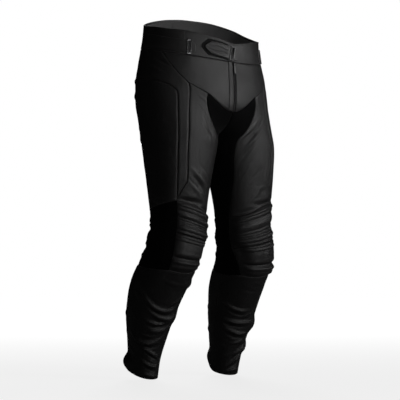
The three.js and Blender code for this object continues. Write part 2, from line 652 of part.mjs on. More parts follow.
// The cut pieces of one half, with the seams on their four sides
const PANELS = [
  { name: "front_yoke", finish: "leather", thick: LEATHER, left: ["fly"],
    top: ["waistFront", "waistYoke"], right: ["yokeSide", "yokeFront"], bottom: ["forkFront"] },
  { name: "hip", finish: "leather", thick: LEATHER, across: 4,
    left: ["yokeSide", "stripFront", "stripHeel"], top: ["waistSide", "hipBack"],
    right: ["panelTop", "panelFront", "panelLow"], bottom: ["stripPoint"] },
  { name: "thigh_front", finish: "leather", thick: LEATHER, step: 19,
    left: ["gussetFront"], top: ["~yokeFront"],
    right: ["stripFront", "stripHeel", "stripPoint", "panelFoot"], bottom: ["kneeFrontTop"] },
  { name: "side_panel", finish: "leather", thick: LEATHER, left: ["panelFront", "panelLow", "panelFoot"],
    top: ["~panelTop"], right: ["sideBack", "sideLow"], bottom: ["kneeOuterTop"] },
  { name: "seat", finish: "leather", thick: LEATHER, step: 24,
    left: ["hipBack", "sideBack"], top: ["waistBack"],
    right: ["centreBack"], bottom: ["seatLow", "seatFork"] },
  { name: "inner_front", finish: "stretch", thick: STRETCH, left: ["forkDownFront", "inseamHigh"],
    top: ["forkStub", "forkFront"], right: ["gussetFront"], bottom: ["kneeFrontInner"] },
  { name: "inner_back", finish: "stretch", thick: STRETCH, left: ["gussetRear"], top: ["seatFork"],
    right: ["forkDownBack", "+inseamHigh"], bottom: ["kneeBackInner"] },
  { name: "thigh_back", finish: "leather", thick: LEATHER, step: 24, left: ["sideLow"], top: ["seatLow"],
    right: ["gussetRear"], bottom: ["kneeBackTop"] },
  { name: "knee_band", finish: "leather", thick: LEATHER, across: 8, knee: [481, 556], extra: [508, 513, 518],
    left: ["bandInnerSide"], top: ["kneeFrontTop"], right: ["bandOuterSide"], bottom: ["bandLow"] },
  { name: "knee_cup", finish: "leather", thick: PADDED, across: 8, knee: [556, 640],
    extra: [581, 590, 602, 608, 612, 616, 622, 629, 636], left: ["cupInnerSide"], top: ["bandLow"],
    right: ["cupOuterSide"], bottom: ["cupLow"] },
  { name: "knee_back", finish: "stretch", thick: STRETCH, across: 13, down: 11,
    left: ["bandOuterSide", "cupOuterSide"],
    top: ["kneeOuterTop", "kneeBackTop", "kneeBackInner", "+kneeFrontInner"],
    right: ["+bandInnerSide", "+cupInnerSide"], bottom: ["calfTopOuter", "calfTopBack", "calfTopInner",
      "+shinTopInner"] },
  { name: "shin", finish: "leather", thick: LEATHER, across: 13, down: 29, left: ["inseamLow"],
    top: ["shinTopInner", "cupLow", "calfTopOuter"], right: ["calfSeam", "calfSeamLow"], bottom: ["hemShin"] },
  { name: "calf_outer", finish: "leather", thick: LEATHER, across: 3, down: 22,
    left: ["calfSeam", "calfSeamLow"],
    top: ["calfTopBack"], right: ["heelSeam", "zipStubOuter", "zipEdgeOuter"], bottom: ["hemOuter"] },
  { name: "calf_inner", finish: "leather", thick: LEATHER, across: 5, down: 22,
    left: ["heelSeam", "zipStubInner", "zipEdgeInner"], top: ["calfTopInner"], right: ["+inseamLow"],
    bottom: ["hemInner"] },
  { name: "ankle_zip_tape", finish: "tape", thick: TAPE, across: 2, down: 14, left: ["zipEdgeOuter"],
    top: ["~zipStubOuter", "zipStubInner"], right: ["zipEdgeInner"], bottom: ["hemZip"] },
];

// The waistband, the zip tapes of the fly and what lies on the panels. Those have seams of their own
const OWN_SEAMS = {
  bandFront: [EDGE_AT(0), POINT.centreWaist],
  bandSeam: [EDGE_AT(0.3), POINT.bandJoint],
  bandBack: [EDGE_AT(1), POINT.backWaist],
  placketInner: [[0.0115, 40], [0.0115, 212]],
  placketOuter: [[0.041, 40], [0.041, 209]],
  placketTop: [[0.0115, 40], [0.041, 40]],
  placketFoot: [[0.0115, 212], [0.041, 209]],
  foldOuter: [[0.0225, 40], [0.0225, 211]],
  foldTop: [[0.0115, 40], [0.0225, 40]],
  foldFoot: [[0.0115, 212], [0.0225, 211]],
  landingInner: [[0.042, -24], [0.042, 35]],
  landingTop: [[0.042, -24], [0.11, -28], [0.175, -29]],
  landingPoint: [[0.175, -29], [0.212, -2], [0.175, 28]],
  landingFoot: [[0.042, 35], [0.175, 28]],
  tabInner: [[0.027, -18], [0.0435, 30]],
  tabTop: [[0.027, -18], [0.1, -22], [0.155, -22]],
  tabPoint: [[0.155, -22], [0.192, -1], [0.158, 22]],
  tabFoot: [[0.0435, 30], [0.158, 22]],
  loopInner: [[0.002, -18], [0.002, 31]],
  loopOuter: [[0.03, -18], [0.03, 31]],
  loopTop: [[0.002, -18], [0.03, -18]],
  loopFoot: [[0.002, 31], [0.03, 31]],
  strapEnd: [[0.262, -7], [0.249, -3], [0.249, 27], [0.262, 31]],
  strapTop: [[0.262, -7], [0.4, -7], [0.58, -5]],
  strapFoot: [[0.262, 31], [0.4, 31], [0.58, 30]],
  strapBack: [[0.58, -5], [0.58, 30]],
  liningFront: [[0.002, -24], [0.002, 36]],
  liningBack: [[0.998, -22], [0.998, 36]],
  liningTop: [[0.002, -24], [0.1, -29], [0.3, -32], [0.4, -28], [0.5, -23], [0.6, -19], [0.75, -19], [0.9, -21],
    [0.998, -22]],
  liningFoot: [[0.002, 36], [0.5, 36], [0.998, 36]],
};
const BOTH = LEGS.map((leg) => leg.name);
const LAID_ON = [
  { name: "waistband_front", finish: "band", thick: BAND, lift: BAND_PROUD, on: BOTH, down: 5,
    left: ["bandFront"], top: ["edgeFront"], right: ["bandSeam"], bottom: ["waistStub", "waistFront"] },
  { name: "waistband_back", finish: "band", thick: BAND, lift: BAND_PROUD, on: BOTH, down: 5,
    left: ["bandSeam"], top: ["edgeBack"], right: ["bandBack"],
    bottom: ["waistYoke", "waistSide", "waistBack"] },
  { name: "waist_lining", finish: "lining", thick: TAPE, lift: BAND_PROUD - BAND - ON_LINING, on: BOTH,
    across: 20, down: 3, left: ["liningFront"], top: ["liningTop"], right: ["liningBack"],
    bottom: ["liningFoot"] },
  { name: "fly_zip_tape", finish: "tape", thick: TAPE, on: BOTH, across: 2,
    left: ["flyCentre"], top: ["waistStub"], right: ["fly"], bottom: ["forkStub"] },
  { name: "fly_placket", finish: "leather", thick: LEATHER, lift: ON_PANEL + LEATHER, on: ["right"], across: 2,
    left: ["placketInner"], top: ["placketTop"], right: ["placketOuter"], bottom: ["placketFoot"] },
  { name: "fly_fold", finish: "leather", thick: LEATHER, lift: ON_PANEL + LEATHER, on: ["left"], across: 2,
    left: ["placketInner"], top: ["foldTop"], right: ["foldOuter"], bottom: ["foldFoot"] },
  { name: "tab_landing", finish: "tape", thick: TAPE, lift: ON_BAND + TAPE, on: ["right"],
    left: ["landingInner"], top: ["landingTop"], right: ["landingPoint"], bottom: ["landingFoot"] },
  { name: "waist_tab", finish: "leather", thick: FOLDED_TAB, lift: ON_LANDING + FOLDED_TAB, on: ["right"],
    left: ["tabInner"], top: ["tabTop"], right: ["tabPoint"], bottom: ["tabFoot"] },
  { name: "ring_loop", finish: "leather", thick: STRAP, lift: ON_BAND + STRAP, on: ["left"], across: 2, down: 3,
    left: ["loopInner"], top: ["loopTop"], right: ["loopOuter"], bottom: ["loopFoot"] },
  { name: "side_strap", finish: "band", thick: STRAP, lift: ON_BAND + STRAP, on: BOTH,
    left: ["strapEnd"], top: ["strapTop"], right: ["strapBack"], bottom: ["strapFoot"] },
].map((spec) => ({ ...spec, plain: true, step: spec.thick === BAND ? PANEL_STEP : TRIM_STEP }));

function panel(leg, seams, spec) {
  const sides = Object.fromEntries(
    ["left", "top", "right", "bottom"].map((key) => [key, panelSide(seams, spec[key])]));
  const step = spec.step ?? PANEL_STEP;
  const width = (sides.top.length + sides.bottom.length) / 2;
  const height = (sides.left.length + sides.right.length) / 2;
  const across = spec.across ?? Math.max(2, Math.round(width / step));
  const down = spec.down ?? Math.max(2, Math.round(height / step));
  const rows = spec.knee ? kneeRows(...spec.knee, spec.extra) : evenRows(down);
  const net = panelNet(sides, { across, rows });
  add(`${spec.name}_${leg.name}`, wall(leg, net, spec), spec.finish);
}

// A place on the cloth, as a group that stands on it: X runs round the garment, Z up and -Y points out
function placeOn(leg, round, drop, height, lean = 0) {
  const out = outward(cloth, leg, round, drop);
  const at = cloth(leg, round, drop).addScaledVector(out, height);
  at.x *= leg.side;
  out.x *= leg.side;
  const up = new THREE.Vector3(0, 0, 1).addScaledVector(out, -out.z).normalize();
  const sideways = up.clone().cross(out);
  const place = new THREE.Group();
  place.quaternion.setFromRotationMatrix(new THREE.Matrix4().makeBasis(sideways, out.clone().negate(), up));
  place.position.copy(at);
  place.rotateY(THREE.MathUtils.degToRad(lean));
  garment.add(place);
  return place;
}

// A flat piece: its outline in X and Z, and its thickness outwards from the place
function flat(shape, thick) {
  const geometry = new THREE.ExtrudeGeometry(shape, { depth: thick, bevelEnabled: false, curveSegments: 5 });
  return geometry.rotateX(Math.PI / 2);
}

function roundedRectangle(width, height, radius, path = new THREE.Shape()) {
  const [w, h, r] = [width / 2, height / 2, radius];
  path.moveTo(-w + r, -h);
  path.lineTo(w - r, -h);
  path.absarc(w - r, -h + r, r, -Math.PI / 2, 0);
  path.lineTo(w, h - r);
  path.absarc(w - r, h - r, r, 0, Math.PI / 2);
  path.lineTo(-w + r, h);
  path.absarc(-w + r, h - r, r, Math.PI / 2, Math.PI);
  path.lineTo(-w, -h + r);
  path.absarc(-w + r, -h + r, r, Math.PI, 1.5 * Math.PI);
  return path;
}

// A frame of metal wire, such as the keeper ring of the tab or the slide of a strap
function frame({ width, height, wire, radius, thick }) {
  const shape = roundedRectangle(width, height, radius);
  const inside = new THREE.Path();
  shape.holes.push(roundedRectangle(width - 2 * wire, height - 2 * wire, INNER_RADIUS, inside));
  return flat(shape, thick);
}

const INNER_RADIUS = 0.4;
const STRAP_SLIDE = { width: 12, height: 40, wire: 2.6, radius: 2, thick: 2, round: 0.278, drop: 12 };
const TAB_RING = {
  width: 15, height: 40, wire: 2.8, radius: 2.4, thick: 2.4, round: 0.0145, drop: 7, lean: 12,
};

// Zip slider: a base with two cheeks, and between them the knuckle of the pull tab
const SLIDER = { width: 7, height: 9, base: 1.8, cheek: 1.3, cheekRise: 2.7, gap: 0.35 };
const PULL = { width: 5.4, thick: 1.3, knuckle: 3.6, reach: 1, neck: 4 };
const FLY_ZIP = { pull: 27, round: 0, drop: 47, above: 3 * SEAM_GAP };
const ANKLE_ZIP = { pull: 19, round: 0.75, drop: 912, above: -3 * SEAM_GAP };
const PIVOT_RISE = SLIDER.base + 1.5;

function sliderShape() {
  const [w, base, top] = [SLIDER.width / 2, SLIDER.base, SLIDER.base + SLIDER.cheekRise];
  const inner = w - SLIDER.cheek;
  const corners = [[-w, 0], [w, 0], [w, top], [inner, top], [inner, base], [-inner, base], [-inner, top],
    [-w, top]];
  return new THREE.Shape(corners.map(([x, y]) => new THREE.Vector2(x, y)));
}

function pullShape(length) {
  const [half, knuckle] = [PULL.width / 2, SLIDER.width / 2 - SLIDER.cheek - SLIDER.gap];
  const shape = new THREE.Shape();
  shape.moveTo(-knuckle, PULL.reach);
  shape.lineTo(-knuckle, -PULL.neck);
  shape.lineTo(-half, -PULL.neck - half);
  shape.lineTo(-half, -length + half);
  shape.absarc(0, -length + half, half, Math.PI, 2 * Math.PI);
  shape.lineTo(half, -PULL.neck - half);
  shape.lineTo(knuckle, -PULL.neck);
  shape.lineTo(knuckle, PULL.reach);
  return shape;
}

function zipSlider(name, place, length) {
  const body = new THREE.ExtrudeGeometry(sliderShape(), { depth: SLIDER.height, bevelEnabled: false });
  body.translate(0, 0, -SLIDER.height / 2);
  const slider = new THREE.Mesh(body.rotateZ(Math.PI), MATERIAL.blackMetal);
  slider.name = `${name}_zip_slider`;
  const tab = flat(pullShape(length), PULL.thick).translate(0, PULL.thick / 2, 0);
  const pull = new THREE.Mesh(tab, MATERIAL.blackMetal);
  pull.name = `${name}_zip_pull`;
  pull.position.set(0, -PIVOT_RISE, 0);
  place.add(slider, pull);
}

const seamsOf = (leg, rows, step) =>
  Object.fromEntries(Object.entries(rows).map(([name, row]) =>
    [name, seamTicks(leg, row, TIGHT_SEAMS.includes(name) ? TIGHT_STEP : step)]));

for (const leg of LEGS) {
  const seams = { ...seamsOf(leg, SEAMS, SEAM_STEP), ...seamsOf(leg, OWN_SEAMS, TRIM_STEP) };
  for (const spec of PANELS) panel(leg, seams, spec);
  for (const spec of LAID_ON) {
    if (spec.on.includes(leg.name)) panel(leg, seams, spec);
  }
  const slide = new THREE.Mesh(frame(STRAP_SLIDE), MATERIAL.metal);
  slide.name = `strap_slide_${leg.name}`;
  placeOn(leg, STRAP_SLIDE.round, STRAP_SLIDE.drop, ON_BAND + STRAP + 2 * SEAM_GAP).add(slide);
  const ankle = placeOn(leg, ANKLE_ZIP.round, ANKLE_ZIP.drop, ANKLE_ZIP.above);
  zipSlider(`ankle_${leg.name}`, ankle, ANKLE_ZIP.pull);
}

const [LEFT, RIGHT] = LEGS;
const keeper = new THREE.Mesh(frame(TAB_RING), MATERIAL.blackMetal);
keeper.name = "tab_ring";
placeOn(RIGHT, TAB_RING.round, TAB_RING.drop, ON_BAND + STRAP + 3 * SEAM_GAP, TAB_RING.lean).add(keeper);
zipSlider("fly", placeOn(LEFT, FLY_ZIP.round, FLY_ZIP.drop, FLY_ZIP.above), FLY_ZIP.pull);

export default garment;
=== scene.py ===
"""Motorcycle trousers of black leather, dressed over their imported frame.

Lengths in this file are millimetres until a mesh is written, which is in metres. Every cloth piece is a
surface of two parameters: "round", which runs from 0 at the centre front or inside leg, over 0.5 at the
outside, to 1 at the centre back or inside leg again, and "drop", which is measured down from the waist.
"""
from __future__ import annotations

import json
import logging
import math
from collections.abc import Callable
from dataclasses import dataclass
from enum import Enum

import bmesh
import bpy
import numpy as np
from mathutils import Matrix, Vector

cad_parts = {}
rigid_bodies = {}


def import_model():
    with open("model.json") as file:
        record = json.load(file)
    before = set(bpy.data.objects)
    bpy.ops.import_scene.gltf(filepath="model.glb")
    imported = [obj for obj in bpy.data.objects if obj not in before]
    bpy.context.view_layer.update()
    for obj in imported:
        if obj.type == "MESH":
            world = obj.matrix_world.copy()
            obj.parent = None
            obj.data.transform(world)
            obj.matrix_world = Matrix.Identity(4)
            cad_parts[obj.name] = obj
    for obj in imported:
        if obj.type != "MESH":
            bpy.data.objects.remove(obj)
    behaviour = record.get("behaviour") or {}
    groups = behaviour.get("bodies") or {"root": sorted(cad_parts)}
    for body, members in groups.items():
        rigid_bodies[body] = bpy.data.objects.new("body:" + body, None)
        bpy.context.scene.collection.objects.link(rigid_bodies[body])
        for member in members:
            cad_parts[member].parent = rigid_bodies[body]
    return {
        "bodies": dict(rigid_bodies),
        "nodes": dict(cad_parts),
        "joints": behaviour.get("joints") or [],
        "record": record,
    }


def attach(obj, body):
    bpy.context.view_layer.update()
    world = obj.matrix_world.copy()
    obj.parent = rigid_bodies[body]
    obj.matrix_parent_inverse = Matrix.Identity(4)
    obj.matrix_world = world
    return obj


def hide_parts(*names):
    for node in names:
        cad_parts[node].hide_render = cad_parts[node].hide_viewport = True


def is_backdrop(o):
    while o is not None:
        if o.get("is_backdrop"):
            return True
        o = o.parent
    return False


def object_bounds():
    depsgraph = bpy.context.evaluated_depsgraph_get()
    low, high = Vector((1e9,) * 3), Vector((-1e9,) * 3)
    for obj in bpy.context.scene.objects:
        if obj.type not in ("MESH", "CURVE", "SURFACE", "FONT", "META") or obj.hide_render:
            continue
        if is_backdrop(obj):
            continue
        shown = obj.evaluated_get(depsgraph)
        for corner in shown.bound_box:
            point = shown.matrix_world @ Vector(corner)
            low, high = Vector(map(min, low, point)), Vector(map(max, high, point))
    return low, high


LOG = logging.getLogger("trousers")
MM = 0.001

# Thickness of each cloth, how far a rim laps past its seam, and how far the pieces that lie on others
# stand out
LEATHER = 1.4
STRETCH = 1.2
PADDED = 2.2
BAND = 2.8
TAPE = 1.0
STRAP = 1.8
FOLDED_TAB = 3.0
SEAM_LAP = 0.25
BAND_PROUD = 0.6
ON_PANEL = 0.3
ON_LINING = 1.5
ON_BAND = BAND_PROUD + 0.6
ON_LANDING = ON_BAND + TAPE + 0.7

# Waist and fork
BAND_LOW = 38
WAIST_LIFT = 46
LIFT_REACH = 170
LIFT_MOST = 1.12
SET_REACH = 150
FORK_TOP = 185
CROTCH = 280
LEG_STARTS = 120
LEG_WHOLE = 330
HIP_POWER = 2.2
LEG_POWER = 2.15

GARMENT = "garment"


class Table:
    """Rows of named columns, read smoothly between its rows as a cubic through them."""

    def __init__(self, names: str, rows: list[tuple[float, ...]]) -> None:
        """Keeps the rows and works out the slope of each column at each row.

        Args:
            names: the column names, the first of which is the place that the table is read at.
            rows: one tuple for each row.
        """
        self.columns = names.split()[1:]
        data = np.array(rows, float)
        self.place = data[:, 0]
        self.value = data[:, 1:]
        gap = np.diff(self.place)[:, None]
        rise = np.diff(self.value, axis=0) / gap
        mixed = (rise[:-1] * gap[1:] + rise[1:] * gap[:-1]) / (gap[:-1] + gap[1:])
        self.slope = np.vstack([rise[:1], mixed, rise[-1:]])

    def read(self, column: str, at: np.ndarray) -> np.ndarray:
        """Gives one column at the places asked for.

        Args:
            column: the column's name.
            at: the places.

        Returns:
            An array of the same shape: the Hermite cubic between the two rows on either side.
        """
        k = self.columns.index(column)
        held = np.clip(at, self.place[0], self.place[-1])
        i = np.clip(np.searchsorted(self.place, held, side="right") - 1, 0, len(self.place) - 2)
        gap = self.place[i + 1] - self.place[i]
        t = (held - self.place[i]) / gap
        start = (2 * t**3 - 3 * t**2 + 1) * self.value[i, k]
        end = (3 * t**2 - 2 * t**3) * self.value[i + 1, k]
        leave = (t**3 - 2 * t**2 + t) * gap * self.slope[i, k]
        arrive = (t**3 - t**2) * gap * self.slope[i + 1, k]
        return start + end + leave + arrive


HIPS = Table("drop width front back", [
    (-90, 166, 143, 128), (-40, 168, 143, 131), (0, 171, 142, 134), (60, 184, 145, 138),
    (120, 195, 149, 144), (180, 199, 150, 146), (240, 199, 148, 142), (330, 199, 146, 140)])

LEG = Table("drop out fwd width front back tilt", [
    (120, 99, 18, 99, 126, 126, 0), (200, 99, 25, 99, 124, 118, 0), (275, 101, 32, 101, 114, 110, 0),
    (315, 105, 36, 98, 108, 104, -3), (385, 111, 41, 87, 98, 94, -5), (455, 115, 44, 78, 86, 84, -5),
    (515, 116, 45, 73, 77, 80, 0), (560, 121, 42, 74, 78, 82, 5), (600, 128, 38, 74, 78, 84, 9),
    (640, 135, 25, 73, 76, 87, 13), (680, 140, 4, 71, 72, 92, 17), (720, 143, -16, 68, 68, 92, 18),
    (760, 146, -34, 63, 65, 82, 18), (800, 147, -46, 58, 60, 74, 17), (845, 147, -58, 50, 52, 60, 16),
    (890, 147, -67, 43, 46, 51, 15), (935, 146, -73, 39, 42, 44, 14), (970, 145, -80, 39, 42, 44, 14)])

WAIST_SET = Table("round right left", [
    (0, -3, -3), (0.1, 0, -6), (0.2, 0, -9), (0.3, 0, -13), (0.4, -3, -15), (0.5, -5, -10),
    (0.6, -9, 2), (0.7, -12, 6), (0.85, -12, -1), (1, -10, -10)])

WAIST_EDGE = Table("round drop", [
    (0, -29), (0.1, -34), (0.3, -37), (0.4, -33), (0.5, -28), (0.6, -24), (0.75, -24), (0.9, -26),
    (1, -27)])

HEM_EDGE = Table("round drop", [
    (0, 944), (0.25, 944), (0.5, 939), (0.75, 931), (0.9, 940), (1, 944)])

# The padded knee: height of the shell above the plain leg, at the knee's own level
KNEE_SHELL = Table("level height", [
    (470, 0), (480, -2), (486, 3), (503, 4), (513, 8.5), (523, 4), (541, 7), (549, 6.5), (573, 9),
    (590, 9.5), (602, 9), (608, 4), (616, 13), (622, 10), (629, 9), (636, 2), (646, 0)])

# How far a level of the knee rises from its inner to its outer side, for one whole turn
KNEE_RAKE = Table("drop rake", [(480, 150), (560, 100), (620, 30), (650, 0)])


@dataclass(frozen=True)
class Ribs:
    """A row of ribs across the knee: the first one's level, their pitch, how many and how high."""

    level: float
    pitch: float
    count: int
    height: float


KNEE_RIBS = (Ribs(485, 9, 2, 2.0), Ribs(521, 5, 3, 1.8), Ribs(536, 12, 1, 3.5), Ribs(548, 8, 3, 2.4))
KNEE_TOP = 470
KNEE_END = 646
KNEE_BENDS = (500, 530)
KNEE_CALMS = (656, 700)
KNEE_NARROWS = (530, 580)
KNEE_INNER = 0.06
KNEE_FADE = 0.08
KNEE_SET_IN = 0.06

# The fold at the ankle where the zip ends and the hem stands out
FLARE_ROUND = 0.7
FLARE_DROP = 914
FLARE_HEIGHT = 17
FLARE_AROUND = 0.28
FLARE_DOWN = 32


@dataclass(frozen=True)
class Fold:
    """A soft ridge or, where its height is negative, a soft trough.

    "half" is its half length round the leg, "reach" its half width, "sag" how far its ends hang above
    its middle, "slope" how far its outer end lies below the inner one, and "lean" how much steeper its
    lower side is than its upper one.
    """

    round: float
    drop: float
    half: float
    reach: float
    height: float
    sag: float
    slope: float
    lean: float = 0.0


# Large folds. Those of the thigh are where the solids have theirs, but finer and different on each leg
RIGHT_THIGH = (
    Fold(0.21, 182, 0.035, 6, 1.3, 0, -14), Fold(0.19, 256, 0.024, 22, 2.0, 0, -44),
    Fold(0.208, 270, 0.024, 20, -2.0, 0, -45), Fold(0.226, 282, 0.03, 22, 1.2, 0, -45),
    Fold(0.25, 407, 0.075, 9, 2.6, 0, -38), Fold(0.246, 425, 0.07, 7, -2.4, 0, -36),
    Fold(0.26, 441, 0.065, 8, 2.8, 0, -30), Fold(0.27, 470, 0.1, 9, -6, 4, -8))
LEFT_THIGH = (
    Fold(0.2, 260, 0.06, 9, 3.6, 0, -50), Fold(0.205, 279, 0.055, 7, -3.2, 0, -48),
    Fold(0.2, 297, 0.06, 8, 2.4, 0, -48), Fold(0.192, 317, 0.06, 7.5, -3.4, 0, -46),
    Fold(0.185, 338, 0.06, 9, 2.2, 0, -46), Fold(0.17, 372, 0.05, 8, -1.6, 0, -40),
    Fold(0.23, 436, 0.055, 10, 1.4, 0, -40), Fold(0.27, 470, 0.1, 9, -5, 4, -8))
BACK_FOLDS = (
    Fold(0.72, 262, 0.11, 12, 5, 8, 0), Fold(0.71, 292, 0.12, 12, 6, 8, 0),
    Fold(0.74, 322, 0.11, 11, 4, 8, 0), Fold(0.68, 132, 0.1, 10, 4, -10, 14),
    Fold(0.7, 172, 0.12, 11, 4, -10, 18))
KNEE_BACK_FOLDS = (
    Fold(0.74, 516, 0.2, 11, 5, 14, 0), Fold(0.72, 543, 0.22, 11, -6, 16, 0),
    Fold(0.76, 569, 0.2, 11, 5, 16, 0), Fold(0.74, 598, 0.22, 11, -5, 14, 0),
    Fold(0.74, 622, 0.2, 10, 4, 12, 0))
RIGHT_SHIN = (
    Fold(0.34, 738, 0.22, 10, 6, 54, -32, 0.4), Fold(0.2, 714, 0.07, 8, 4, 0, 20, 0.4),
    Fold(0.26, 765, 0.13, 9, 5, 18, -2, 0.4), Fold(0.3, 781, 0.13, 8, 4, 18, 5, 0.4),
    Fold(0.26, 800, 0.13, 11, 5, 12, 14, 0.4), Fold(0.36, 841, 0.21, 11, 7, 40, 4, 0.4),
    Fold(0.3, 868, 0.14, 10, 6, 4, -23, 0.4), Fold(0.28, 906, 0.13, 10, 5, 9, -9, 0.4),
    Fold(0.27, 934, 0.11, 8, 4, 0, -4), Fold(0.15, 673, 0.1, 15, 5, 0, 0),
    Fold(0.17, 765, 0.12, 30, 6, 0, 0), Fold(0.74, 790, 0.16, 11, 4, 12, 0),
    Fold(0.76, 842, 0.16, 11, 5, 12, 0))
LEFT_SHIN = (
    Fold(0.17, 748, 0.14, 9, 5, 18, 9, 0.4), Fold(0.27, 757, 0.08, 8, 4, 4, -16, 0.4),
    Fold(0.19, 785, 0.17, 10, 6, 6, 0, 0.4), Fold(0.2, 816, 0.16, 10, 7, 14, 9, 0.4),
    Fold(0.24, 845, 0.09, 8, 4, 0, -9, 0.4), Fold(0.31, 864, 0.12, 11, 7, 0, -26, 0.4),
    Fold(0.26, 894, 0.12, 11, 7, 0, -34, 0.4), Fold(0.25, 928, 0.12, 11, 5, 0, -10, 0.4),
    Fold(0.37, 794, 0.13, 32, 8, 0, 0), Fold(0.38, 868, 0.1, 16, 6, 0, 0),
    Fold(0.74, 782, 0.16, 11, 4, 12, 0), Fold(0.76, 838, 0.16, 11, 5, 12, 0))

# Fine creases, which only the finished cloth has
FINE_CREASES = (
    Fold(0.2, 225, 0.04, 5, 0.8, 0, -32), Fold(0.23, 322, 0.05, 6, -0.8, 0, -34),
    Fold(0.2, 342, 0.05, 6, 0.9, 0, -36), Fold(0.18, 378, 0.05, 7, 0.7, 0, -34),
    Fold(0.22, 390, 0.06, 6, -0.9, 0, -30), Fold(0.28, 425, 0.05, 5, -1.2, 0, -26),
    Fold(0.22, 457, 0.06, 5, -1.3, 0, -24), Fold(0.31, 448, 0.03, 5, 1.2, 0, -10),
    Fold(0.45, 90, 0.08, 7, 1.5, 0, -22), Fold(0.4, 72, 0.07, 6, -1.4, 0, -20),
    Fold(0.5, 160, 0.08, 9, 1.4, 0, -26), Fold(0.47, 232, 0.05, 8, -1.1, 0, -18),
    Fold(0.47, 452, 0.07, 7, 1.8, 3, -16), Fold(0.5, 470, 0.08, 6, -1.8, 3, -14),
    Fold(0.86, 300, 0.07, 7, 2.2, 0, 26), Fold(0.88, 336, 0.06, 7, -1.8, 0, 24),
    Fold(0.8, 112, 0.1, 7, -1.8, -6, 12), Fold(0.8, 150, 0.1, 7, 1.8, -8, 14),
    Fold(0.84, 196, 0.1, 8, -1.8, -8, 16), Fold(0.9, 222, 0.06, 6, 2.0, -6, 10),
    Fold(0.76, 340, 0.1, 7, -2.0, 6, 0), Fold(0.72, 372, 0.1, 8, 1.8, 6, 0),
    Fold(0.7, 412, 0.1, 9, 1.5, 6, 0), Fold(0.73, 450, 0.12, 8, 2.2, 8, 0),
    Fold(0.74, 482, 0.14, 6, -2.2, 10, 0), Fold(0.66, 530, 0.09, 5, 1.6, 8, 6),
    Fold(0.83, 556, 0.09, 5, 1.6, 8, -6), Fold(0.66, 586, 0.1, 5, 1.6, 8, 6),
    Fold(0.82, 610, 0.1, 5, -1.6, 8, -6), Fold(0.72, 664, 0.1, 7, 1.8, 8, 0),
    Fold(0.72, 700, 0.1, 8, 1.3, 8, 0), Fold(0.3, 668, 0.1, 7, 1.6, 6, -8),
    Fold(0.22, 690, 0.08, 7, -1.2, 4, 4), Fold(0.5, 716, 0.08, 9, 1.4, 4, -14))
RIGHT_SHIN_CREASES = (
    Fold(0.34, 749, 0.16, 5, -2.4, 30, -24), Fold(0.27, 775, 0.1, 4, -2.2, 14, 0),
    Fold(0.3, 790, 0.1, 4, -2.0, 14, 6), Fold(0.34, 820, 0.1, 6, 1.6, 14, 4),
    Fold(0.34, 853, 0.16, 6, -2.6, 24, 2), Fold(0.28, 880, 0.11, 5, -2.4, 6, -18),
    Fold(0.28, 893, 0.08, 5, 1.5, 6, -10), Fold(0.27, 918, 0.1, 5, -1.8, 6, -6),
    Fold(0.5, 770, 0.07, 6, 1.5, 6, -22), Fold(0.52, 868, 0.08, 7, 1.6, 8, -22),
    Fold(0.22, 728, 0.07, 5, -2.0, 0, 18))
LEFT_SHIN_CREASES = (
    Fold(0.17, 760, 0.12, 5, -2.4, 16, 8), Fold(0.27, 769, 0.07, 4, -2.0, 4, -12),
    Fold(0.18, 797, 0.14, 5, -2.4, 8, 2), Fold(0.19, 829, 0.13, 6, -2.4, 12, 8),
    Fold(0.3, 852, 0.09, 4, -2.2, 0, -18), Fold(0.3, 879, 0.11, 5, -2.8, 0, -24),
    Fold(0.25, 911, 0.11, 5, -2.4, 0, -26), Fold(0.45, 800, 0.07, 7, 1.5, 6, -18),
    Fold(0.48, 880, 0.08, 7, 1.6, 6, -18), Fold(0.1, 860, 0.06, 7, 1.4, 5, 8),
    Fold(0.08, 736, 0.05, 5, 1.4, 0, 8), Fold(0.12, 890, 0.07, 7, 1.4, 0, -8))


@dataclass(frozen=True)
class Streaks:
    """A patch of fine drag lines. "half_round" and "half_drop" bound it, "slope" is the fall of the lines
    in millimetres for one whole turn, and "long" and "wide" are the size of one line."""

    seed: int
    round: float
    drop: float
    half_round: float
    half_drop: float
    slope: float
    long: float
    wide: float
    height: float


STREAKS = (
    Streaks(11, 0.2, 290, 0.11, 130, -230, 70, 9, 0.55), Streaks(12, 0.25, 430, 0.13, 70, -160, 60, 8, 0.6),
    Streaks(13, 0.74, 560, 0.26, 110, 0, 60, 8, 0.7), Streaks(14, 0.7, 150, 0.24, 110, 120, 80, 12, 0.55),
    Streaks(15, 0.28, 800, 0.24, 130, -40, 50, 8, 0.65), Streaks(16, 0.76, 810, 0.2, 130, 0, 55, 9, 0.6),
    Streaks(17, 0.45, 110, 0.14, 90, -190, 70, 11, 0.45), Streaks(18, 0.72, 300, 0.18, 90, 30, 70, 10, 0.6))


class Side(Enum):
    """The wearer's two sides, with the sign of their X."""

    LEFT = 1
    RIGHT = -1

    @property
    def label(self) -> str:
        """The side's name as nodes carry it."""
        return self.name.lower()


BOTH = (Side.LEFT, Side.RIGHT)


@dataclass(frozen=True)
class Leg:
    """One half: its side, how much lower its kneecap hangs, the knee's outer edge, and its folds."""

    side: Side
    knee_sag: float
    knee_outer: float
    folds: tuple[Fold, ...]

    @property
    def name(self) -> str:
        """The side's name."""
        return self.side.label


SHARED_FOLDS = BACK_FOLDS + KNEE_BACK_FOLDS + FINE_CREASES
LEFT = Leg(Side.LEFT, 13, 0.42, SHARED_FOLDS + LEFT_THIGH + LEFT_SHIN + LEFT_SHIN_CREASES)
RIGHT = Leg(Side.RIGHT, 0, 0.385, SHARED_FOLDS + RIGHT_THIGH + RIGHT_SHIN + RIGHT_SHIN_CREASES)
LEGS = (LEFT, RIGHT)


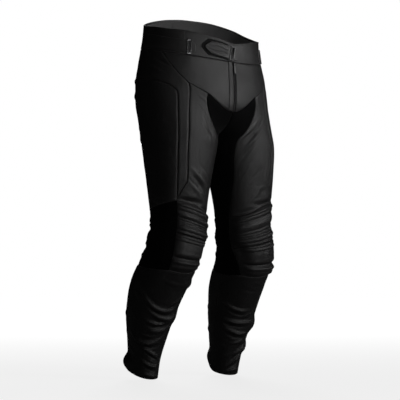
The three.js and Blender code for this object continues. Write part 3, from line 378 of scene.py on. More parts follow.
def smooth(x: np.ndarray, low: float, high: float) -> np.ndarray:
    """Smooth step from 0 at low to 1 at high: t squared times (3 - 2 t)."""
    t = np.clip((np.asarray(x, float) - low) / (high - low), 0, 1)
    return t * t * (3 - 2 * t)


def hump(u: np.ndarray) -> np.ndarray:
    """Soft bump of height 1 between -1 and 1: (1 - u squared) squared."""
    return np.where(np.abs(u) < 1, (1 - u * u) ** 2, 0.0)


def bell(x: np.ndarray, middle: float, width: float) -> np.ndarray:
    """Bell of height 1 at its middle: e to the power of minus the squared distance in widths."""
    return np.exp(-(((x - middle) / width) ** 2))


def unit(vectors: np.ndarray) -> np.ndarray:
    """Scales vectors to length 1."""
    return vectors / np.maximum(np.linalg.norm(vectors, axis=-1, keepdims=True), 1e-9)


class Ripple:
    """Smooth noise on a seeded square lattice, for the unevenness of worn cloth."""

    SIZE = 64

    def __init__(self, seed: int) -> None:
        """Draws the lattice values.

        Args:
            seed: the seed of the draws.
        """
        self.lattice = np.random.default_rng(seed).uniform(-1, 1, (self.SIZE, self.SIZE))

    def read(self, x: np.ndarray, y: np.ndarray, turns: int = SIZE) -> np.ndarray:
        """Blends the four lattice values round each point.

        Args:
            x: place across, in cells; it repeats after "turns" cells.
            y: place down, in cells.
            turns: number of cells in one whole turn.

        Returns:
            Values from -1 to 1.
        """
        i, j = np.floor(x).astype(int), np.floor(y).astype(int)
        fx, fy = x - i, y - j
        fx, fy = fx * fx * (3 - 2 * fx), fy * fy * (3 - 2 * fy)
        left, right = i % turns % self.SIZE, (i + 1) % turns % self.SIZE
        up, down = j % self.SIZE, (j + 1) % self.SIZE
        high = self.lattice[left, up] * (1 - fx) + self.lattice[right, up] * fx
        low = self.lattice[left, down] * (1 - fx) + self.lattice[right, down] * fx
        return high * (1 - fy) + low * fy


class Form:
    """The garment's surface: where the cloth lies, which way it faces and how high its relief is."""

    GIRTH = 600.0
    WAVES = ((40, 1.0), (18, 0.45), (9, 0.2))
    WAVE_SHARE = 0.5
    STREAK_START = 20
    NEARBY = (-16, -8, 0, 8, 16)
    SEAM_HOLD = 10

    def __init__(self) -> None:
        """Makes the noise fields of each leg."""
        self.waves = {leg.name: [Ripple(100 * k + leg.side.value) for k in range(1, 4)] for leg in LEGS}
        self.streaks = {leg.name: [Ripple(s.seed * 10 + leg.side.value) for s in STREAKS] for leg in LEGS}

    @staticmethod
    def ring(angle: np.ndarray, width: np.ndarray, front: np.ndarray, back: np.ndarray,
             power: float) -> tuple[np.ndarray, np.ndarray]:
        """Point of a rounded ring: a superellipse whose front and back halves differ in depth.

        Args:
            angle: directions from the ring's middle.
            width: half the ring's width.
            front: its depth in front of the middle.
            back: its depth behind the middle.
            power: 2 for an ellipse, more for squarer corners.

        Returns:
            The two coordinates.
        """
        c, s = np.cos(angle), np.sin(angle)
        depth = np.where(s < 0, front, back)
        radius = (np.abs(c / width) ** power + np.abs(s / depth) ** power) ** (-1 / power)
        return radius * c, radius * s

    @staticmethod
    def leg_share(lean: np.ndarray, drop: np.ndarray) -> np.ndarray:
        """Share of the leg ring in a point: smooth at the outside, a quarter ellipse at the fork.

        Args:
            lean: 1 at the centre front, 0 at the outside, -1 at the centre back.
            drop: places down the garment.

        Returns:
            Shares from 0 to 1.
        """
        fork = np.clip((drop - FORK_TOP) / (CROTCH - FORK_TOP), 0, 1)
        at_fork = 1 - np.sqrt(1 - fork**2)
        at_side = smooth(drop, LEG_STARTS, LEG_WHOLE)
        return at_side + (at_fork - at_side) * np.abs(lean) ** 3

    def skin(self, leg: Leg, round_: np.ndarray, drop: np.ndarray) -> np.ndarray:
        """Plain cloth, as if both halves were the left one.

        A point is shared between the hip ring and the leg ring. Away from the inner seams the share is
        the mean of five heights, so that the thigh shows no line at the height of the fork.

        Args:
            leg: the half.
            round_: places round it.
            drop: places down it.

        Returns:
            Points, in millimetres.
        """
        round_, drop = np.broadcast_arrays(np.asarray(round_, float), np.asarray(drop, float))
        lean = np.cos(np.pi * round_)
        nearby = [self.leg_share(lean, drop + step) for step in self.NEARBY]
        at_seam = np.abs(lean) ** self.SEAM_HOLD
        share = at_seam * nearby[len(nearby) // 2] + (1 - at_seam) * sum(nearby) / len(nearby)
        hips = [HIPS.read(key, drop) for key in ("width", "front", "back")]
        tube = [LEG.read(key, drop) for key in ("width", "front", "back")]
        hx, hy = self.ring(np.pi * (round_ - 0.5), *hips, HIP_POWER)
        lx, ly = self.ring(np.pi * (2 * round_ - 1), *tube, LEG_POWER)
        tilt = np.radians(LEG.read("tilt", drop))
        even = -WAIST_LIFT * lean * np.clip((LIFT_REACH - drop) / LIFT_REACH, 0, LIFT_MOST)
        waist = WAIST_SET.read(leg.name, round_) * (1 - smooth(drop, 0, SET_REACH))
        x = (1 - share) * hx + share * (LEG.read("out", drop) + lx)
        y = (1 - share) * hy + share * (ly * np.cos(tilt) - LEG.read("fwd", drop))
        z = -drop + (1 - share) * (even + waist) + share * ly * np.sin(tilt)
        return np.stack([x, y, z], axis=-1)

    @staticmethod
    def outward(surface: Callable[[Leg, np.ndarray, np.ndarray], np.ndarray], leg: Leg, round_: np.ndarray,
                drop: np.ndarray) -> np.ndarray:
        """Direction that points out of a surface: the cross product of its two tangents.

        Args:
            surface: gives the points at places.
            leg: the half.
            round_: places round it.
            drop: places down it.

        Returns:
            Vectors of length 1.
        """
        small = 0.002
        around = surface(leg, round_ + small, drop) - surface(leg, round_ - small, drop)
        up = surface(leg, round_, drop - 1) - surface(leg, round_, drop + 1)
        return unit(np.cross(around, up))

    def cloth(self, leg: Leg, round_: np.ndarray, drop: np.ndarray) -> np.ndarray:
        """Cloth with its hem standing out round the ankle zip: the skin and a soft bump along its outside.

        Args:
            leg: the half.
            round_: places round it.
            drop: places down it.

        Returns:
            Points, in millimetres.
        """
        round_, drop = np.broadcast_arrays(np.asarray(round_, float), np.asarray(drop, float))
        height = FLARE_HEIGHT * hump((round_ - FLARE_ROUND) / FLARE_AROUND)
        height = height * hump((drop - FLARE_DROP) / FLARE_DOWN)
        plain = self.skin(leg, round_, drop)
        if not np.any(height > 0):
            return plain
        return plain + height[..., None] * self.outward(self.skin, leg, round_, drop)

    def knee(self, leg: Leg, at: np.ndarray, drop: np.ndarray) -> np.ndarray:
        """Height of the padded knee. Each rib is the square root of a sine, so the channels are sharp.

        Args:
            leg: the half.
            at: places round it, from 0 to 1.
            drop: places down it.

        Returns:
            Heights, in millimetres.
        """
        level = drop + KNEE_RAKE.read("rake", drop) * (at - 0.25)
        low = level - leg.knee_sag * smooth(level, KNEE_BENDS[0], KNEE_BENDS[1] + leg.knee_sag)
        edge = KNEE_INNER + KNEE_SET_IN * smooth(low, *KNEE_NARROWS)
        inner = smooth(at, edge, edge + KNEE_FADE)
        outer = 1 - smooth(at, leg.knee_outer - KNEE_FADE, leg.knee_outer)
        shell = KNEE_SHELL.read("height", low) * (low > KNEE_TOP) * (low < KNEE_END)
        for rib in KNEE_RIBS:
            turns = (low - rib.level) / rib.pitch
            inside = (turns > 0) & (turns < rib.count)
            shell = shell + np.where(inside, rib.height * np.sqrt(np.abs(np.sin(np.pi * turns))), 0.0)
        return inner * outer * shell

    def relief(self, leg: Leg, round_: np.ndarray, drop: np.ndarray) -> np.ndarray:
        """Height of the knee, the folds and the unevenness above the plain cloth.

        Args:
            leg: the half.
            round_: places round it.
            drop: places down it.

        Returns:
            Heights, in millimetres.
        """
        at = np.where(round_ > 1, round_ - 1, round_)
        height = self.knee(leg, at, drop)
        for fold in leg.folds:
            u = (at - fold.round) / fold.half
            offset = drop - (fold.drop + fold.slope * u - fold.sag * u * u)
            reach = fold.reach * np.where(offset > 0, 1 - fold.lean, 1.0)
            height = height + fold.height * hump(u) * hump(offset / reach)
        for ripple, (size, tall) in zip(self.waves[leg.name], self.WAVES):
            turns = round(self.GIRTH / size)
            height = height + self.WAVE_SHARE * tall * ripple.read(at * turns, drop / size, turns)
        for ripple, patch in zip(self.streaks[leg.name], STREAKS):
            x = (at - patch.round) * self.GIRTH / patch.long
            y = (drop - patch.drop - patch.slope * (at - patch.round)) / patch.wide
            line = 1 - 2 * np.abs(ripple.read(x + self.STREAK_START, y + self.STREAK_START))
            mask = hump((at - patch.round) / patch.half_round) * hump((drop - patch.drop) / patch.half_drop)
            height = height + patch.height * mask * line
        return height


def hem_at(round_: float) -> tuple[float, float]:
    """Point of the hem."""
    return round_, float(HEM_EDGE.read("drop", np.array(round_)))


def edge_at(round_: float) -> tuple[float, float]:
    """Point of the waistband's top edge."""
    return round_, float(WAIST_EDGE.read("drop", np.array(round_)))


# Named points of the seams, as (round, drop)
CENTRE_WAIST = (0, BAND_LOW)
FRONT_WAIST = (0.0107, BAND_LOW)
BAND_JOINT = (0.3, BAND_LOW)
YOKE_WAIST = (0.42, BAND_LOW)
SIDE_WAIST = (0.6, BAND_LOW)
BACK_WAIST = (1, BAND_LOW)
FLY_END = (0.0107, 214)
FRONT_FORK = (0, 214)
BACK_FORK = (1, 238)
INNER_FORK = (0, 280)
STRIP_TOP = (0.276, 132)
GUSSET_TOP = (0.18, 166)
GUSSET_BACK = (0.84, 262)
STRIP_BEND = (0.313, 417)
STRIP_END = (0.352, 451)
STRIP_TIP = (0.3635, 462)
PANEL_BEND = (0.362, 424)
PANEL_CORNER = (0.334, 158)
PANEL_BACK = (0.6, 118)
SEAT_SIDE = (0.6, 300)
KNEE_OUT = (0.364, 466)
KNEE_SIDE = (0.585, 480)
KNEE_BACK = (0.93, 503)
KNEE_INSEAM = (0, 510)
KNEE_IN = (0.05, 503)
BAND_IN = (0.06, 575)
BAND_OUT = (0.362, 545)
CUP_IN = (0.13, 640)
CUP_OUT = (0.355, 636)
CALF_TOP = (0.6, 648)
CALF_LOW = (0.6, 850)
HEEL_TOP = (0.75, 652)
SHIN_INSEAM = (0, 650)
ZIP_TOP = (0.75, 738)
ZIP_OUT = (0.7475, 741)
ZIP_IN = (0.7525, 741)

# Seams: each is a chain of points from its upper or front end
SEAMS = {
    "waistStub": [CENTRE_WAIST, FRONT_WAIST],
    "waistFront": [FRONT_WAIST, (0.2, BAND_LOW), BAND_JOINT],
    "waistYoke": [BAND_JOINT, YOKE_WAIST],
    "edgeFront": [edge_at(0), edge_at(0.1), edge_at(0.2), edge_at(0.3)],
    "edgeBack": [edge_at(0.3), edge_at(0.45), edge_at(0.6), edge_at(0.8), edge_at(1)],
    "flyCentre": [CENTRE_WAIST, FRONT_FORK],
    "waistSide": [YOKE_WAIST, SIDE_WAIST],
    "waistBack": [SIDE_WAIST, (0.8, BAND_LOW), BACK_WAIST],
    "fly": [FRONT_WAIST, FLY_END],
    "yokeSide": [YOKE_WAIST, (0.36, 78), (0.315, 108), STRIP_TOP],
    "yokeFront": [STRIP_TOP, (0.234, 147), GUSSET_TOP],
    "forkFront": [FLY_END, (0.04, 212), (0.09, 200), (0.136, 183), GUSSET_TOP],
    "forkStub": [FRONT_FORK, FLY_END],
    "stripFront": [STRIP_TOP, (0.272, 150), (0.282, 190), (0.295, 225), (0.318, 300), (0.315, 390),
                   STRIP_BEND],
    "stripHeel": [STRIP_BEND, STRIP_END],
    "stripPoint": [STRIP_END, STRIP_TIP],
    "panelTop": [PANEL_BACK, (0.52, 122), (0.435, 128), (0.398, 134), (0.362, 142), PANEL_CORNER],
    "panelFront": [PANEL_CORNER, (0.332, 178), (0.343, 226), (0.36, 300), (0.362, 380), PANEL_BEND],
    "panelLow": [PANEL_BEND, STRIP_TIP],
    "panelFoot": [STRIP_TIP, KNEE_OUT],
    "hipBack": [SIDE_WAIST, PANEL_BACK],
    "sideBack": [PANEL_BACK, SEAT_SIDE],
    "sideLow": [SEAT_SIDE, (0.593, 400), KNEE_SIDE],
    "seatLow": [SEAT_SIDE, (0.72, 298), GUSSET_BACK],
    "seatFork": [GUSSET_BACK, (0.92, 248), BACK_FORK],
    "centreBack": [BACK_WAIST, (1, 140), BACK_FORK],
    "forkDownFront": [FRONT_FORK, (0, 240), (0, 262), (0, 275), INNER_FORK],
    "forkDownBack": [BACK_FORK, (1, 255), (1, 268), (1, 277), (1, 280)],
    "inseamHigh": [INNER_FORK, (0, 400), KNEE_INSEAM],
    "gussetFront": [GUSSET_TOP, (0.19, 190), (0.187, 215), (0.175, 240), (0.16, 265), (0.145, 285),
                    (0.12, 330), (0.1, 400), KNEE_IN],
    "gussetRear": [GUSSET_BACK, (0.88, 330), (0.9, 400), KNEE_BACK],
    "kneeFrontTop": [KNEE_IN, (0.12, 502), (0.2, 491), (0.27, 477), KNEE_OUT],
    "kneeOuterTop": [KNEE_OUT, KNEE_SIDE],
    "kneeBackTop": [KNEE_SIDE, (0.72, 498), KNEE_BACK],
    "kneeBackInner": [KNEE_BACK, (1, 510)],
    "kneeFrontInner": [KNEE_INSEAM, KNEE_IN],
    "bandInnerSide": [KNEE_IN, (0.05, 535), BAND_IN],
    "bandOuterSide": [KNEE_OUT, BAND_OUT],
    "bandLow": [BAND_IN, (0.2, 561), BAND_OUT],
    "cupInnerSide": [BAND_IN, (0.078, 590), (0.102, 612), CUP_IN],
    "cupOuterSide": [BAND_OUT, CUP_OUT],
    "cupLow": [CUP_IN, (0.24, 641), CUP_OUT],
    "calfTopOuter": [CUP_OUT, CALF_TOP],
    "calfTopBack": [CALF_TOP, HEEL_TOP],
    "calfTopInner": [HEEL_TOP, (1, 650)],
    "shinTopInner": [SHIN_INSEAM, CUP_IN],
    "inseamLow": [SHIN_INSEAM, (0, 800), hem_at(0)],
    "calfSeam": [CALF_TOP, CALF_LOW],
    "calfSeamLow": [CALF_LOW, hem_at(0.6)],
    "heelSeam": [HEEL_TOP, ZIP_TOP],
    "zipStubOuter": [ZIP_TOP, ZIP_OUT],
    "zipStubInner": [ZIP_TOP, ZIP_IN],
    "zipEdgeOuter": [ZIP_OUT, (0.743, 765), (0.742, 850), hem_at(0.741)],
    "zipEdgeInner": [ZIP_IN, (0.757, 765), (0.758, 850), hem_at(0.759)],
    "hemShin": [hem_at(0), hem_at(0.3), hem_at(0.6)],
    "hemOuter": [hem_at(0.6), hem_at(0.741)],
    "hemZip": [hem_at(0.741), hem_at(0.759)],
    "hemInner": [hem_at(0.759), hem_at(1)],
    "bandFront": [edge_at(0), CENTRE_WAIST],
    "bandSeam": [edge_at(0.3), BAND_JOINT],
    "bandBack": [edge_at(1), BACK_WAIST],
    "placketInner": [(0.0115, 40), (0.0115, 212)],
    "placketOuter": [(0.041, 40), (0.041, 209)],
    "placketTop": [(0.0115, 40), (0.041, 40)],
    "placketFoot": [(0.0115, 212), (0.041, 209)],
    "foldOuter": [(0.0225, 40), (0.0225, 211)],
    "foldTop": [(0.0115, 40), (0.0225, 40)],
    "foldFoot": [(0.0115, 212), (0.0225, 211)],
    "landingInner": [(0.042, -24), (0.042, 35)],
    "landingTop": [(0.042, -24), (0.11, -28), (0.175, -29)],
    "landingPoint": [(0.175, -29), (0.212, -2), (0.175, 28)],
    "landingFoot": [(0.042, 35), (0.175, 28)],
    "tabInner": [(0.027, -18), (0.0435, 30)],
    "tabTop": [(0.027, -18), (0.1, -22), (0.155, -22)],
    "tabPoint": [(0.155, -22), (0.192, -1), (0.158, 22)],
    "tabFoot": [(0.0435, 30), (0.158, 22)],
    "loopInner": [(0.002, -18), (0.002, 31)],
    "loopOuter": [(0.03, -18), (0.03, 31)],
    "loopTop": [(0.002, -18), (0.03, -18)],
    "loopFoot": [(0.002, 31), (0.03, 31)],
    "strapEnd": [(0.262, -7), (0.249, -3), (0.249, 27), (0.262, 31)],
    "strapTop": [(0.262, -7), (0.4, -7), (0.58, -5)],
    "strapFoot": [(0.262, 31), (0.4, 31), (0.58, 30)],
    "strapBack": [(0.58, -5), (0.58, 30)],
    "liningFront": [(0.002, -24), (0.002, 36)],
    "liningBack": [(0.998, -22), (0.998, 36)],
    "liningTop": [(0.002, -24), (0.1, -29), (0.3, -32), (0.4, -28), (0.5, -23), (0.6, -19), (0.75, -19),
                  (0.9, -21), (0.998, -22)],
    "liningFoot": [(0.002, 36), (0.5, 36), (0.998, 36)],
}

# How deep the groove of a seam is, where it isn't the usual one. Free edges have none
GROOVE_WIDTH = 1.6
USUAL_GROOVE = 1.2
GROOVES = {
    "stripFront": 2.6, "panelFront": 2.6, "panelTop": 2.2, "panelLow": 2.2, "stripHeel": 2.2,
    "yokeFront": 1.6, "yokeSide": 1.4, "kneeFrontTop": 1.6, "bandLow": 2.0, "waistFront": 1.8,
    "waistYoke": 1.8, "bandOuterSide": 0.5, "cupOuterSide": 0.5, "cupLow": 0.6, "calfTopOuter": 0.8,
    "bandInnerSide": 0.8,
}
FREE_EDGES = {
    "fly", "flyCentre", "waistStub", "forkStub", "zipEdgeOuter", "zipEdgeInner", "zipStubOuter",
    "zipStubInner", "hemShin", "hemOuter", "hemZip", "hemInner", "edgeFront", "edgeBack", "bandFront",
}


def groove_depth(seam: str) -> float:
    """Depth of the groove along a seam: 0 on a free edge."""
    return 0.0 if seam in FREE_EDGES else GROOVES.get(seam, USUAL_GROOVE)


@dataclass(frozen=True)
class SeamLine:
    """A seam as many points in (round, drop), with the length of cloth up to each."""

    flat: np.ndarray
    length: np.ndarray

    def at(self, share: np.ndarray) -> np.ndarray:
        """Points at shares of the seam's length, in (round, drop)."""
        reached = share * self.length[-1]
        return np.stack([np.interp(reached, self.length, self.flat[:, k]) for k in (0, 1)], axis=-1)


def centripetal(points: np.ndarray, count: int) -> np.ndarray:
    """Smooth curve through points: a Catmull-Rom curve whose knots stand the root of each gap apart.

    Args:
        points: the points, one for each row.
        count: number of steps along the curve.

    Returns:
        count + 1 points.
    """
    ends = np.vstack([2 * points[0] - points[1], points, 2 * points[-1] - points[-2]])
    place = np.linspace(0, len(points) - 1, count + 1)
    i = np.clip(place.astype(int), 0, len(points) - 2)
    t = (place - i)[:, None]
    p0, p1, p2, p3 = (ends[i + k] for k in range(4))
    pairs = ((p0, p1), (p1, p2), (p2, p3))
    gaps = [np.sqrt(np.linalg.norm(b - a, axis=1, keepdims=True)) for a, b in pairs]
    d1 = np.where(gaps[1] < 1e-4, 1.0, gaps[1])
    d0 = np.where(gaps[0] < 1e-4, d1, gaps[0])
    d2 = np.where(gaps[2] < 1e-4, d1, gaps[2])
    m1 = ((p1 - p0) / d0 - (p2 - p0) / (d0 + d1) + (p2 - p1) / d1) * d1
    m2 = ((p2 - p1) / d1 - (p3 - p1) / (d1 + d2) + (p3 - p2) / d2) * d1
    cube = 2 * p1 - 2 * p2 + m1 + m2
    square = -3 * p1 + 3 * p2 - 2 * m1 - m2
    return ((cube * t + square) * t + m1) * t + p1


class SeamBook:
    """All seams of one leg, worked out when they are first asked for."""

    SCALE = 500.0
    STEPS = 200

    def __init__(self, form: Form, leg: Leg) -> None:
        """Keeps the form and the leg."""
        self.form, self.leg = form, leg
        self.lines: dict[str, SeamLine] = {}

    def line(self, name: str) -> SeamLine:
        """The seam of that name.

        Args:
            name: its name, with "~" before it to turn it round, and "+" to carry it once round the leg.

        Returns:
            The seam.
        """
        plain = name.lstrip("~+")
        if plain not in self.lines:
            self.lines[plain] = self.draw(SEAMS[plain])
        line = self.lines[plain]
        flat, length = line.flat, line.length
        if "+" in name:
            flat = flat + np.array([1.0, 0.0])
        if "~" in name:
            flat, length = flat[::-1], length[-1] - length[::-1]
        return SeamLine(flat, length)

    def draw(self, rows: list[tuple[float, float]]) -> SeamLine:
        """Draws a seam through its points; round the kneecap it is lowered with it.

        Args:
            rows: the points, as (round, drop).

        Returns:
            The seam.
        """
        points = np.array(rows, float)
        near_knee = smooth(points[:, 1], *KNEE_BENDS) * (1 - smooth(points[:, 1], *KNEE_CALMS))
        points[:, 1] += self.leg.knee_sag * near_knee
        points[:, 0] *= self.SCALE
        flat = centripetal(points, self.STEPS)
        flat[:, 0] /= self.SCALE
        solid = self.form.cloth(self.leg, flat[:, 0], flat[:, 1])
        steps = np.linalg.norm(np.diff(solid, axis=0), axis=1)
        return SeamLine(flat, np.concatenate([[0], np.cumsum(steps)]))


class Chain:
    """One side of a panel: seams end to end."""

    def __init__(self, book: SeamBook, names: tuple[str, ...]) -> None:
        """Collects the seams of the side.

        Args:
            book: the seams of the leg.
            names: the side's seams in order.
        """
        self.names = [name.lstrip("~+") for name in names]
        self.lines = [book.line(name) for name in names]
        lengths = np.array([line.length[-1] for line in self.lines])
        self.length = float(lengths.sum())
        self.shares = lengths / self.length

    def knots(self, other: "Chain") -> np.ndarray:
        """Where the seams join, from 0 to 1. Sides with as many seams meet joint to joint.

        Args:
            other: the opposite side of the panel.

        Returns:
            The joints, with both ends.
        """
        matched = len(self.lines) == len(other.lines)
        shares = (self.shares + other.shares) / 2 if matched else self.shares
        return np.concatenate([[0], np.cumsum(shares)])

    def at(self, t: np.ndarray, knots: np.ndarray) -> np.ndarray:
        """Points of the side.

        Args:
            t: places along it, from 0 to 1.
            knots: where its seams join.

        Returns:
            The points, in (round, drop).
        """
        k = np.clip(np.searchsorted(knots, t, side="right") - 1, 0, len(self.lines) - 1)
        flat = np.empty(t.shape + (2,))
        for i, line in enumerate(self.lines):
            mine = k == i
            share = (t[mine] - knots[i]) / (knots[i + 1] - knots[i])
            flat[mine] = line.at(np.clip(share, 0, 1))
        return flat

    def groove(self, t: np.ndarray, knots: np.ndarray) -> np.ndarray:
        """Depth of the groove at places along the side."""
        k = np.clip(np.searchsorted(knots, t, side="right") - 1, 0, len(self.lines) - 1)
        return np.array([groove_depth(name) for name in self.names])[k]


def graded(length: float, step: float) -> np.ndarray:
    """Places from 0 to 1 along a length, close together near both ends for the rounded edges.

    Args:
        length: the length, in millimetres.
        step: usual spacing, in millimetres.

    Returns:
        Increasing places, the first 0 and the last 1.
    """
    near = np.array([0, 0.35, 0.8, 1.4, 2.2, 3.2, 4.6, 6.4])
    near = near[near < length * 0.4]
    middle = length - 2 * near[-1]
    count = max(1, round(middle / step))
    inner = near[-1] + middle * np.arange(1, count) / count
    return np.concatenate([near, inner, (length - near)[::-1]]) / length


@dataclass(frozen=True)
class Piece:
    """A cut piece of cloth: its node, the seams of its four sides, and how it is made."""

    node: str
    left: tuple[str, ...]
    top: tuple[str, ...]
    right: tuple[str, ...]
    bottom: tuple[str, ...]
    finish: "Finish"
    thick: float
    lift: float = 0.0
    plain: bool = False
    sides: tuple[Side, ...] = BOTH
    step: float = 4.6
    row_step: float | None = None
    held: str = "hung"
    slot: str = "leather"


@dataclass
class Net:
    """A panel's grid: places, points, outward directions and distances from its edges."""

    flat: np.ndarray
    base: np.ndarray
    normal: np.ndarray
    from_left: np.ndarray
    from_top: np.ndarray
    from_edge: np.ndarray
    from_seam: np.ndarray
    groove: np.ndarray


class Finish(Enum):
    """The finishes of the trousers. The value is the material's name."""

    LEATHER = "smooth_leather"
    BAND = "band_leather"
    STRETCH = "stretch_cloth"
    LINING = "mesh_lining"
    TAPE = "woven_tape"
    PILE = "pile_tape"
    FLESH = "flesh_side"
    THREAD = "thread"
    BLACK_METAL = "black_metal"
    METAL = "bright_metal"


def mesh_object(name: str, points: np.ndarray, faces: list[np.ndarray]) -> bpy.types.Object:
    """Makes an object from arrays.

    Args:
        name: the object's name.
        points: points in millimetres.
        faces: arrays of faces, each array with its own number of corners.

    Returns:
        The linked object, smooth shaded.
    """
    mesh = bpy.data.meshes.new(name)
    corners = np.concatenate([f.reshape(-1) for f in faces]).astype(np.int32)
    sizes = np.concatenate([np.full(len(f), f.shape[1]) for f in faces])
    mesh.vertices.add(len(points))
    mesh.vertices.foreach_set("co", (points * MM).astype(np.float32).reshape(-1))
    mesh.loops.add(len(corners))
    mesh.loops.foreach_set("vertex_index", corners)
    mesh.polygons.add(len(sizes))
    mesh.polygons.foreach_set("loop_start", np.concatenate([[0], np.cumsum(sizes)[:-1]]).astype(np.int32))
    mesh.polygons.foreach_set("use_smooth", np.ones(len(sizes), bool))
    mesh.update(calc_edges=True)
    obj = bpy.data.objects.new(name, mesh)
    bpy.context.scene.collection.objects.link(obj)
    return obj


def keep_attribute(obj: bpy.types.Object, name: str, values: np.ndarray) -> None:
    """Stores one number for each point of a mesh."""
    layer = obj.data.attributes.new(name, "FLOAT", "POINT")
    layer.data.foreach_set("value", values.astype(np.float32).reshape(-1))


